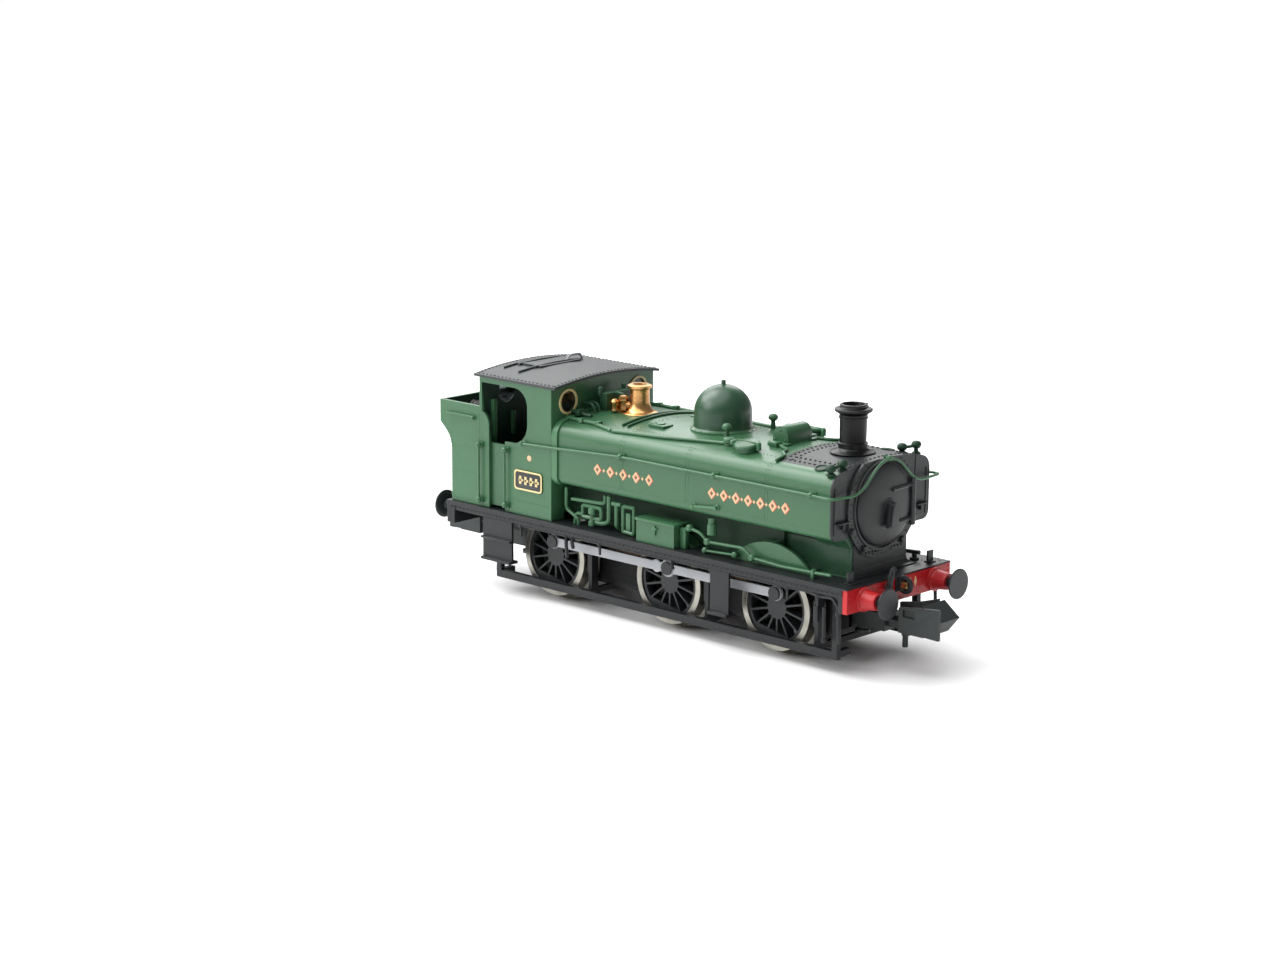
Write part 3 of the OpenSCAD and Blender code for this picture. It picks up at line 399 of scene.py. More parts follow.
def lathe(bm, base, axis, profile, sides=28):
    """Turns a profile of (radius, height) about the axis at base. A radius of 0 closes the end."""
    part = bmesh.new()
    axis = Vector(axis).normalized()
    u = axis.orthogonal().normalized()
    v = axis.cross(u)
    base = Vector(base)
    rings = []
    for radius, height in profile:
        middle = base + axis * height
        if radius == 0:
            rings.append([part.verts.new(middle)])
        else:
            rings.append([part.verts.new(middle + (u * cos(a) + v * sin(a)) * radius)
                          for a in turn(sides)])
    for r0, r1 in zip(rings, rings[1:]):
        for k in range(sides):
            quad = [r0[k % len(r0)], r0[(k + 1) % len(r0)], r1[(k + 1) % len(r1)], r1[k % len(r1)]]
            corners = list(dict.fromkeys(quad))
            if len(corners) > 2:
                part.faces.new(corners)
    for ring in (rings[0], rings[-1]):
        if len(ring) > 1:
            part.faces.new(ring)
    merge(bm, part)


def disc(bm, base, axis, radius, height, sides=10):
    """A plain short cylinder that stands on its base."""
    lathe(bm, base, axis, [(radius, 0), (radius, height), (0, height)], sides)


def rivet(bm, place, normal, radius, height):
    dome = [(radius, -0.02), (radius * 0.92, height * 0.5), (radius * 0.55, height * 0.9), (0, height)]
    lathe(bm, place, normal, dome, 8)


def row(a, b, count):
    """Evenly spaced points from a to b."""
    a, b = Vector(a), Vector(b)
    return [a.lerp(b, i / (count - 1)) for i in range(count)]


def rivet_row(bm, a, b, count, normal, radius, height):
    for place in row(a, b, count):
        rivet(bm, place, normal, radius, height)


def knob(bm, foot, way, radius, stand):
    """Handrail knob: a thin stem with a ball on it."""
    stem = radius * 0.5
    ball = [(radius * sin(a), stand - radius * cos(a)) for a in arc(30, 120, 4)]
    collar = [(radius * 0.85, 0), (radius * 0.7, 0.08), (stem, 0.12), (stem, stand - radius * 0.9)]
    lathe(bm, foot, way, collar + ball + [(0, stand + radius)], 14)


def rounded_outline(x0, z0, x1, z1, radius):
    """Rectangle with rounded corners, as (x, z)."""
    corners = ((x1 - radius, z1 - radius), (x0 + radius, z1 - radius),
               (x0 + radius, z0 + radius), (x1 - radius, z0 + radius))
    return [(x + radius * cos(a), z + radius * sin(a))
            for quarter, (x, z) in enumerate(corners) for a in arc(90 * quarter, 90, 4)]


def extent(node):
    """Low and high corner of a CAD node."""
    low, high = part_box(node)
    return (low - ORIGIN) / MM, (high - ORIGIN) / MM


# --- sizes taken from the CAD
tank_low, tank_high = extent("pannier_tanks")
plate_low, plate_high = extent("running_plate")
cab_low, cab_high = extent("cab_shell")
roof_low, roof_high = extent("cab_roof")
bunker_low, bunker_high = extent("bunker")
door_low, door_high = extent("smokebox_door")
feed_low, feed_high = extent("top_feed_cover")
box_low, box_high = extent("toolboxes")
# Half widths over the tanks, the cab and the running plate.
TANK = tank_high.y
CAB = cab_high.y
EDGE = plate_high.y
FRONT = tank_high.x
TANK_FOOT = tank_low.z
PLATE = plate_high.z
# Outer faces of the two buffer beams.
BEAM = plate_high.x
REAR = plate_low.x

# The tanks' section: a shallow arch between two tight shoulders, and rounded feet.
SHOULDER_R = 1.5
FOOT_R = 0.9
ARCH_RISE = 0.7
TOP_HALF = TANK - SHOULDER_R
TOP_R = (TOP_HALF ** 2 + ARCH_RISE ** 2) / (2 * ARCH_RISE)
TOP_Z = tank_high.z
SHOULDER_Z = TOP_Z - TOP_R + sqrt((TOP_R - SHOULDER_R) ** 2 - TOP_HALF ** 2)


def top_z(y):
    """Height of the tanks' top at y."""
    return TOP_Z - TOP_R + sqrt(TOP_R ** 2 - y ** 2)


def top_rivet(bm, x, y, radius, height):
    rivet(bm, (x, y, top_z(y)), (0, y / TOP_R, 1), radius, height)


def tank_outline(grow, steps=6):
    """Tank section from the left foot over the top to the right foot, as (y, z)."""
    foot, shoulder, crown = FOOT_R + grow, SHOULDER_R + grow, TOP_R + grow
    lean = asin(TOP_HALF / (TOP_R - SHOULDER_R))
    half = [(TANK - FOOT_R + foot * cos(a), TANK_FOOT + FOOT_R + foot * sin(a))
            for a in arc(-90, 90, steps)]
    for i in range(steps + 1):
        a = (pi / 2 - lean) * i / steps
        half.append((TOP_HALF + shoulder * cos(a), SHOULDER_Z + shoulder * sin(a)))
    for i in range(1, steps + 1):
        a = lean * (1 - i / steps)
        half.append((crown * sin(a), TOP_Z - TOP_R + crown * cos(a)))
    return half + [(-y, z) for y, z in reversed(half[:-1])]


def hoop(bm, x0, x1, grow):
    """A thin strap round the tanks' section between x0 and x1."""
    part = bmesh.new()
    loops = []
    for outer, inner in zip(tank_outline(grow), tank_outline(-0.05)):
        corners = ((x0, inner), (x0, outer), (x1, outer), (x1, inner))
        loops.append([part.verts.new((x, *point)) for x, point in corners])
    for first, second in zip(loops, loops[1:]):
        bridge(part, first, second)
    part.faces.new(loops[0])
    part.faces.new(loops[-1])
    merge(bm, part)


# --- tanks
seams = bmesh.new()
hoop(seams, cab_high.x + 0.02, cab_high.x + 0.85, 0.2)
piece("tank_end_beading", seams, "green")

TANK_SEAMS = (-4.95, 4.4, 15.2)
studs = bmesh.new()
for x in [seam + offset for seam in TANK_SEAMS for offset in (-0.2, 0.2)]:
    for side in SIDES:
        foot = (x, side * TANK, TANK_FOOT + 1.0)
        rivet_row(studs, foot, (x, side * TANK, SHOULDER_Z), 19, (0, side, 0), 0.075, 0.05)
        for a in arc(18, 68, 4):
            out, rise = side * cos(a), sin(a)
            place = (x, side * TOP_HALF + SHOULDER_R * out, SHOULDER_Z + SHOULDER_R * rise)
            rivet(studs, place, (0, out, rise), 0.075, 0.05)
        for i in range(1, 11):
            top_rivet(studs, x, side * TOP_HALF * i / 11, 0.075, 0.05)
for side in SIDES:
    y, z = side * TANK, TANK_FOOT + 0.98
    rivet_row(studs, (-14.2, y, z), (22.9, y, z), 76, (0, side, 0), 0.06, 0.035)
    for place in row((-14, side * 5.35, 0), (22.8, side * 5.35, 0), 70):
        top_rivet(studs, place.x, place.y, 0.07, 0.05)
piece("tank_rivets", studs, "green")

# Black plates over the tanks' front ends, each with a lamp bracket, a strip and a row of rivets.
CHEEK_INNER = 5.2
cheeks = bmesh.new()
for side in SIDES:
    outline = [(y * side, z) for y, z in tank_outline(0.03) if y > CHEEK_INNER]
    outline.append((CHEEK_INNER * side, TANK_FOOT - 0.03))
    prism(cheeks, outline, 0, FRONT - 0.12, FRONT + 0.06, 0)
    bracket, strip, line = side * 6.3, side * 7.4, side * 7.75
    back = FRONT + 0.02
    slab(cheeks, (back, bracket - 0.9, 15.0), (FRONT + 0.62, bracket + 0.9, 15.16), 0.04)
    slab(cheeks, (back, bracket - 0.12, 14.4), (FRONT + 0.45, bracket + 0.12, 15.05), 0.04)
    slab(cheeks, (back, strip - 0.12, 13.9), (FRONT + 0.14, strip + 0.12, 18.7), 0.03)
    rivet_row(cheeks, (FRONT + 0.06, line, 14.3), (FRONT + 0.06, line, 18.4), 12, FORWARD, 0.07, 0.05)
piece("tank_front_cheeks", cheeks, "smoke")

# Two rows of plain open lozenges on each tank side: first and last middle, and how many.
MARK_ROWS = ((-8.4, -0.9, 5), (7.9, 17.8, 7))
MARK_Z = 15.85
MARK_HALF = (0.52, 0.62)
MARK_OPENING = 0.42


def lozenge(x, half_w, half_h):
    return [(x - half_w, MARK_Z), (x, MARK_Z - half_h), (x + half_w, MARK_Z), (x, MARK_Z + half_h)]


def frame_mark(bm, x, side, proud):
    """A lozenge with an open middle, laid on the tank side."""
    outer = lozenge(x, *MARK_HALF)
    inner = lozenge(x, *(half * MARK_OPENING for half in MARK_HALF))
    front, back = side * (TANK + proud), side * (TANK - 0.02)
    rings = [[bm.verts.new((px, y, pz)) for px, pz in outline]
             for outline, y in ((outer, front), (inner, front), (inner, back), (outer, back))]
    for first, second in zip(rings, rings[1:] + rings[:1]):
        bridge(bm, first, second)


marks = bmesh.new()
shades = bmesh.new()
for side in SIDES:
    for start, end, count in MARK_ROWS:
        step = (end - start) / (count - 1)
        for i in range(count):
            x = start + step * i
            frame_mark(shades, x + 0.12, side, 0.012)
            frame_mark(marks, x, side, 0.03)
            if i + 1 < count:
                dot = lozenge(x + step / 2, 0.16, 0.2)
                prism(marks, dot, 1, side * (TANK - 0.02), side * (TANK + 0.03), 0)
piece("tank_mark_shading", shades, "shade")
piece("tank_marks", marks, "gold")

# --- handrails
RAIL_Y = TANK + 0.42
RAIL_Z = 17.85
RAIL_END = (-19.3, 17.16)


def side_run(side):
    """The long handrail's points along one side, from the cab to the front."""
    return [(RAIL_END[0], side * (CAB + 0.4), RAIL_END[1]), (-15.2, side * (CAB + 0.36), 17.3),
            (-4.7, side * RAIL_Y, 17.82), (21.45, side * RAIL_Y, RAIL_Z)]


over_door = [(0, 20.88), (1.5, 20.5), (2.7, 19.55), (3.75, 18.5), (5.2, 17.82)]
path = side_run(-1) + [(24.35, -8.7, RAIL_Z)]
path += [(24.75, -y, z) for y, z in reversed(over_door)]
path += [(24.75, y, z) for y, z in over_door[1:]]
path += [(24.4, 9.1, RAIL_Z)] + side_run(1)[::-1]
rails = bmesh.new()
tube(rails, path, 0.15, 10, 0.9)
for side in SIDES:
    for x in (-4.7, 8.5, 21.45):
        knob(rails, (x, side * (TANK - 0.02), RAIL_Z - 0.02), (0, side, 0), 0.34, 0.44)
        low = (x - 0.42, side * (TANK - 0.05), RAIL_Z - 0.34)
        slab(rails, low, (x + 0.42, side * (TANK + 0.14), RAIL_Z + 0.34), 0.05)
    knob(rails, (RAIL_END[0], side * (CAB - 0.02), RAIL_END[1]), (0, side, 0), 0.3, 0.42)
knob(rails, (24.2, 0, 20.88), FORWARD, 0.34, 0.55)
piece("boiler_handrail", rails, "green", ["tank_handrails"])

rails = bmesh.new()
for side in SIDES:
    wall = side * (CAB - 0.02)
    for x in (-26.05, -21.95):
        y = side * (CAB + 0.42)
        tube(rails, [(x, y, 9.75), (x, y, 16.15)], 0.13, 8)
        for z in (9.85, 16.05):
            knob(rails, (x, wall, z), (0, side, 0), 0.36, 0.42)
            low = (x - 0.5, side * (CAB - 0.05), z - 0.32)
            slab(rails, low, (x + 0.42, side * (CAB + 0.28), z + 0.32), 0.08)
    y = side * (CAB + 0.3)
    level = [(-31.2, side * CAB, 19.0), (-31.2, y, 19.0), (-27.1, y, 19.0), (-27.1, side * CAB, 19.0)]
    tube(rails, level, 0.11, 8, 0.25)
    knob(rails, (-27.1, wall, 18.9), (0, side, 0), 0.26, 0.28)
piece("cab_side_handrails", rails, "green", ["cab_handrails"])

# --- smokebox front
DOOR_X = door_high.x
DOOR_Z = (door_low.z + door_high.z) / 2
DOOR_R = (door_high.z - door_low.z) / 2
DOOR_DISH = 0.65
HINGE_X = door_low.x + 0.55
HINGE_Y = 4.15


def door_x(y, z):
    """Front surface of the smokebox door at y, z."""
    dish = max(0.0, 1 - (y * y + (z - DOOR_Z) ** 2) / DOOR_R ** 2)
    return DOOR_X - DOOR_DISH * (1 - sqrt(dish))


gear = bmesh.new()
for z in (14.05, 17.6):
    strap = [(door_x(y, z) + 0.02, y, z) for y in (0.5, 1.2, 1.9, 2.6, 3.2, 3.7)]
    for ends in zip(strap, strap[1:]):
        tube(gear, ends, 0.25, 8)
    tube(gear, [(strap[-1][0], 3.65, z), (HINGE_X, HINGE_Y, z)], 0.28, 8)
tube(gear, [(HINGE_X, HINGE_Y, 13.4), (HINGE_X, HINGE_Y, 18.2)], 0.32, 10)
boss = [(0.85, 0), (0.8, 0.14), (0.5, 0.2), (0.42, 0.55), (0.3, 0.62), (0, 0.64)]
lathe(gear, (DOOR_X - 0.08, 0, DOOR_Z), FORWARD, boss, 20)
wedge = [(-0.6, 16.3), (0.45, 16.3), (0.95, 13.8), (-0.75, 13.8)]
prism(gear, wedge, 0, DOOR_X + 0.12, DOOR_X + 0.62, 0.06)
handle = [(-0.45, 16.1), (-0.05, 16.1), (-0.2, 14.0), (-0.7, 14.0)]
prism(gear, handle, 0, DOOR_X + 0.6, DOOR_X + 0.85, 0.05)
piece("door_dart_and_hinges", gear, "smoke", ["door_handles"])

# The ring round the door: its rivets, a raised rim, four lamp brackets and a row of bolts.
RING_X = door_low.x
RIVET_R = 5.16
ring = bmesh.new()
for a in turn(44):
    y, z = RIVET_R * cos(a), DOOR_Z + RIVET_R * sin(a)
    if z < top_z(y) - 0.25:
        rivet(ring, (RING_X, y, z), FORWARD, 0.1, 0.07)
rim = [(DOOR_R + 0.12, 0), (DOOR_R + 0.4, 0), (DOOR_R + 0.36, 0.16), (DOOR_R + 0.16, 0.16)]
part = bmesh.new()
hoops = [[part.verts.new((RING_X - 0.02 + height, radius * cos(a), DOOR_Z + radius * sin(a)))
          for radius, height in rim] for a in turn(72)]
for first, second in zip(hoops, hoops[1:] + hoops[:1]):
    bridge(part, first, second)
merge(ring, part)
for y, z in ((-5.0, 14.0), (3.0, 11.9), (5.0, 14.0), (-3.0, 11.9)):
    slab(ring, (RING_X - 0.02, y - 0.25, z - 0.3), (RING_X + 0.4, y + 0.25, z + 0.3), 0.08)
rivet_row(ring, (RING_X, -3.1, 11.35), (RING_X, 3.1, 11.35), 13, FORWARD, 0.13, 0.12)
piece("smokebox_front_details", ring, "smoke")

# Side plates of the saddle, flared out under the tanks, and the wrapper's riveted top.
SADDLE = 4.3
sides = bmesh.new()
for side in SIDES:
    inner, outer = side * (SADDLE - 0.05), side * (SADDLE + 0.14)
    low_z, high_z = PLATE + 0.02, 12.3
    plate = [(14.9, low_z), (FRONT, low_z), (FRONT, high_z), (14.9, high_z)]
    prism(sides, plate, 1, inner, outer, 0.03)
    under_tank = TANK_FOOT + 0.05
    flare = [(side * SADDLE, 12.1), (side * (SADDLE + 0.3), 12.1), (side * 5.5, 13.1),
             (side * 6.6, under_tank), (side * SADDLE, under_tank)]
    prism(sides, flare, 0, 19.6, FRONT - 0.06, 0)
    end = FRONT - 0.3
    for z in (9.6, 12.0):
        rivet_row(sides, (20.6, outer, z), (end, outer, z), 9, (0, side, 0), 0.1, 0.07)
    rivet_row(sides, (end, outer, 9.9), (end, outer, 11.7), 5, (0, side, 0), 0.1, 0.07)
    slab(sides, (20.2, side * 4.4, PLATE), (FRONT + 0.1, side * 5.0, PLATE + 0.2), 0.05)
# The saddle side plates wear the darker green as painted shade.
piece("saddle_side_plates", sides, "green_in_shade")

WRAPPER_BACK = 15.7
wrapper_front = FRONT - 0.4
top = bmesh.new()
for y in (-5.5, -4.6, 4.6, 5.5):
    for place in row((WRAPPER_BACK, y, 0), (wrapper_front, y, 0), 13):
        top_rivet(top, place.x, y, 0.14, 0.1)
for x in (WRAPPER_BACK, WRAPPER_BACK + 0.8, wrapper_front):
    for place in row((x, -5.3, 0), (x, 5.3, 0), 17):
        top_rivet(top, x, place.y, 0.14, 0.1)
piece("smokebox_top_rivets", top, "smoke")

# --- chimney
CHIMNEY_X = 20.0
base_z = top_z(0)
flange = [(2.3, 0.02), (2.36, 0.08), (2.2, 0.18), (1.7, 0.28), (1.5, 0.5), (1.5, 0.86), (1.55, 0.9),
          (1.55, 1.02), (1.42, 1.08), (1.38, 1.2)]
cap = [(1.42, 24.2), (1.44, 24.35), (1.52, 24.38), (1.52, 24.5), (1.44, 24.54), (1.46, 24.75),
       (1.62, 24.9), (1.86, 25.02), (1.95, 25.12), (1.95, 25.3), (1.8, 25.4), (1.5, 25.46),
       (1.42, 25.56), (1.42, 25.74), (1.36, 25.8), (1.16, 25.8)]
bore = [(1.1, 25.7), (1.08, 24.4), (0.9, 22.4), (0, 22.4)]
stack = bmesh.new()
profile = [(radius, base_z + height) for radius, height in flange] + cap + bore
lathe(stack, (CHIMNEY_X, 0, 0), UP, profile, 48)
finial = [(0.2, 0), (0.2, 0.2), (0.12, 0.3), (0.16, 0.42), (0, 0.55)]
lathe(stack, (CHIMNEY_X + 0.75, 1.15, 25.35), UP, finial, 10)
piece("chimney_casting", stack, "stack", ["chimney"])

# --- fittings on the tanks
fit = bmesh.new()
mushroom = [(0.55, 0), (0.55, 0.16), (0.3, 0.24), (0.24, 1.1), (0.3, 1.16), (0.48, 1.26),
            (0.54, 1.46), (0.48, 1.68), (0.28, 1.84), (0, 1.9)]
for y in (-3.7, 3.7):
    lathe(fit, (6.2, y, top_z(y) - 0.1), UP, mushroom, 18)
piece("tank_vent_pipes", fit, "green", ["tank_vents"])

fit = bmesh.new()
lid = [(1.2, 0), (1.2, 0.75), (1.34, 0.8), (1.34, 1.02), (1.24, 1.12), (0.9, 1.16), (0.3, 1.2), (0, 1.2)]
for y in (-5.2, 5.2):
    x, z = 10.4, top_z(y)
    lathe(fit, (x, y, z - 0.25), (0, y / TOP_R, 1), lid, 30)
    slab(fit, (x - 1.5, y - 0.16, z + 0.82), (x + 1.6, y + 0.16, z + 1.02), 0.06)
    tube(fit, [(x - 1.75, y - 0.5, z + 0.6), (x - 1.75, y + 0.5, z + 0.6)], 0.3, 10)
    slab(fit, (x - 1.9, y - 0.25, z - 0.1), (x - 1.2, y + 0.25, z + 0.8), 0.06)
    lathe(fit, (x + 1.45, y, z + 0.2), UP, [(0.28, 0), (0.28, 0.7), (0.18, 0.84), (0, 0.86)], 12)
piece("tank_filler_lids", fit, "green", ["tank_fillers"])

# Twin ball fittings at the front corners, each pair joined by a bar and standing by a flat lid.
# A pair gives each ball's x, its distance from the middle and its stem's height.
NEAR_PAIR = ((23.05, 7.2, 0.32), (23.05, 5.4, 0.32))
FAR_PAIR = ((22.6, 7.15, 0.6), (22.2, 5.3, 0.3))
flat_lid = [(0.75, -0.05), (0.75, 0.12), (0.63, 0.16), (0.57, 0.08), (0, 0.08)]
fit = bmesh.new()
for side, pair, lid_x, lid_y in ((-1, NEAR_PAIR, 21.0, 6.1), (1, FAR_PAIR, 20.6, 5.0)):
    balls = []
    for x, y, stem in pair:
        z = (top_z(y) if y < TOP_HALF else SHOULDER_Z + SHOULDER_R) - 0.15
        ball = [(0.24, 0), (0.42, 0.1), (0.55, 0.35), (0.5, 0.6), (0.3, 0.77), (0, 0.81)]
        foot = [(0.5, 0), (0.46, 0.2), (0.24, 0.3)]
        profile = foot + [(radius, stem + height) for radius, height in ball]
        lathe(fit, (x, side * y, z), UP, profile, 16)
        balls.append((x, side * y, z + stem + 0.3))
    tube(fit, balls, 0.17, 8)
    y = side * lid_y
    lathe(fit, (lid_x, y, top_z(y)), (0, y / TOP_R, 1), flat_lid, 24)
# The fittings wear the darker green as painted shade.
piece("front_tank_fittings", fit, "fittings_in_shade")

# Pipes and small plates that lie on the tanks' tops.
fit = bmesh.new()
union = [(0.5, 0), (0.5, 0.3), (0.62, 0.4), (0.62, 0.75), (0.4, 0.9), (0, 0.92)]
for side in SIDES:
    run = [(-7.1, 7.0), (-0.6, 6.35), (3.4, 5.6), (7.2, 4.9)]
    tube(fit, [(x, side * y, top_z(y) + 0.16) for x, y in run], 0.2, 10, 1.0)
    lathe(fit, (7.5, side * 4.85, top_z(4.85) - 0.05), UP, union, 14)
    run = [(-14.9, side * 6.0, top_z(6.0) + 0.2), (-10.5, side * 6.2, top_z(6.2) + 0.2),
           (-7.4, side * 6.9, 20.1)]
    tube(fit, run, 0.22, 10, 0.8)
    z = top_z(6.1)
    for x in (-12.4, -9.9):
        slab(fit, (x - 0.3, side * 5.8, z - 0.05), (x + 0.3, side * 6.5, z + 0.5), 0.08)
for x in (-7.3, -6.5):
    across = (-5.2, -3.5, -1.75, 0, 1.75, 3.5, 5.2)
    tube(fit, [(x, y, top_z(y) + 0.14) for y in across], 0.14, 8, 0.5)
for y in (-3.3, 3.3):
    z = top_z(y)
    slab(fit, (-4.6, y - 0.8, z - 0.1), (-2.4, y + 0.8, z + 0.22), 0.1)
    lathe(fit, (-3.5, y, z + 0.2), UP, [(0.55, 0), (0.5, 0.14), (0.2, 0.2), (0, 0.2)], 16)
# The two that step over the tanks behind the chimney, and the plate between them.
for side in SIDES:
    weave = [(12.0, 2.4), (13.4, 3.2), (14.2, 3.4), (14.6, 4.6), (15.3, 5.0), (15.4, 6.6)]
    tube(fit, [(x, side * y, top_z(min(y, TOP_HALF)) + 0.15) for x, y in weave], 0.17, 8, 0.4)
    slab(fit, (11.6, side * 2.4, top_z(2.5) - 0.1), (12.6, side * 3.3, top_z(3) + 0.5), 0.1)
slab(fit, (10.9, -2.75, top_z(0) - 0.15), (13.1, 2.75, top_z(0) + 0.1), 0.08)
piece("tank_top_pipework", fit, "green")

FEED_X = (feed_low.x + feed_high.x) / 2
FEED_Y = 1.95
FEED_R = 1.02
fit = bmesh.new()
hump = [(FEED_X + FEED_R * cos(a), 21.6 + FEED_R * sin(a)) for a in arc(0, 180, 15)]
outline = [(FEED_X + 1.1, top_z(0) - 0.3), *hump, (FEED_X - 1.1, top_z(0) - 0.3)]
prism(fit, outline, 1, -FEED_Y, FEED_Y, 0.14)
for side in SIDES:
    for x, z in ((FEED_X - 0.7, 21.2), (FEED_X + 0.7, 21.2), (FEED_X, 22.2)):
        rivet(fit, (x, side * FEED_Y, z), (0, side, 0), 0.13, 0.09)
    low = (FEED_X - 1.35, side * (FEED_Y - 0.35), top_z(2))
    slab(fit, low, (FEED_X + 1.35, side * (FEED_Y + 0.4), top_z(2) + 0.24), 0.08)
piece("top_feed_casing", fit, "green", ["top_feed_cover"])

DOME_X = 2.4
fit = bmesh.new()
base = [(3.5, -0.35), (3.5, 0.02), (3.3, 0.1), (3.12, 0.26), (3.0, 0.26), (3.0, -0.35)]
lathe(fit, (DOME_X, 0, top_z(0)), UP, base, 56)
for a in turn(20):
    place = (DOME_X + 3.38 * cos(a), 3.38 * sin(a), top_z(0) + 0.06)
    rivet(fit, place, UP, 0.08, 0.06)
piece("dome_base_ring", fit, "green")

# Copper valves with their bends, between the bonnet and the cab.
fit = bmesh.new()
nut = [(0.5, 0), (0.5, 0.5), (0.42, 0.7), (0.55, 0.95), (0.55, 1.3), (0.35, 1.55), (0, 1.6)]
bulb = [(0.42, 0), (0.36, 0.5), (0.46, 0.7), (0.46, 1.0), (0.25, 1.25), (0, 1.3)]
for side in SIDES:
    bend = [(-10.3, side * 0.9, 21.5), (-11.0, side * 1.2, 21.8), (-11.4, side * 1.3, 20.7)]
    tube(fit, bend, 0.38, 12, 0.5)
    lathe(fit, (-10.9, side * 1.25, 21.1), UP, nut, 6)
    lathe(fit, (-11.6, side * 1.9, 21.0), UP, bulb, 12)
piece("copper_clack_valves", fit, "copper")

# Green box, pipes and a pair of whistles in front of the cab.
fit = bmesh.new()
slab(fit, (-13.9, -1.9, 20.6), (-12.8, 1.9, 22.7), 0.15)
for y in (-3.2, -2.5, 2.7, 3.4):
    tube(fit, [(-15.0, y, 21.6), (-13.6, y, 21.6), (-13.2, y, 20.6)], 0.16, 8, 0.5)
tube(fit, [(-13.4, -0.6, 22.3), (-12.4, -0.6, 22.7), (-11.5, -0.6, 22.6)], 0.14, 8, 0.4)
whistle = [(0.2, 0), (0.2, 0.2), (0.3, 0.25), (0.3, 0.9), (0.12, 1.0), (0, 1.1)]
for side in SIDES:
    lathe(fit, (-13.8, side * 1.9, 22.3), UP, whistle, 10)
    y = side * 5.0
    run = [(-15.0, y, 20.9), (-14.2, y, 20.9), (-13.6, side * 4.6, 20.65), (-12.6, side * 4.5, 20.6)]
    tube(fit, run, 0.22, 8, 0.5)
    slab(fit, (-14.3, side * 4.2, 20.5), (-13.7, side * 5.3, 21.2), 0.1)
# These pipes wear the darker green as painted shade.
piece("cab_front_pipework", fit, "green_in_shade")

# Uprights on the inside of the cab's rear sheet, seen through the doorway.
fit = bmesh.new()
sheet = cab_low.x + 0.35
slab(fit, (sheet, -6.75, 15.5), (sheet + 0.55, -6.2, 21.0), 0.06)
slab(fit, (sheet, -3.65, 16.6), (sheet + 0.45, -3.2, 19.3), 0.06)
piece("cab_inside_uprights", fit, "green")

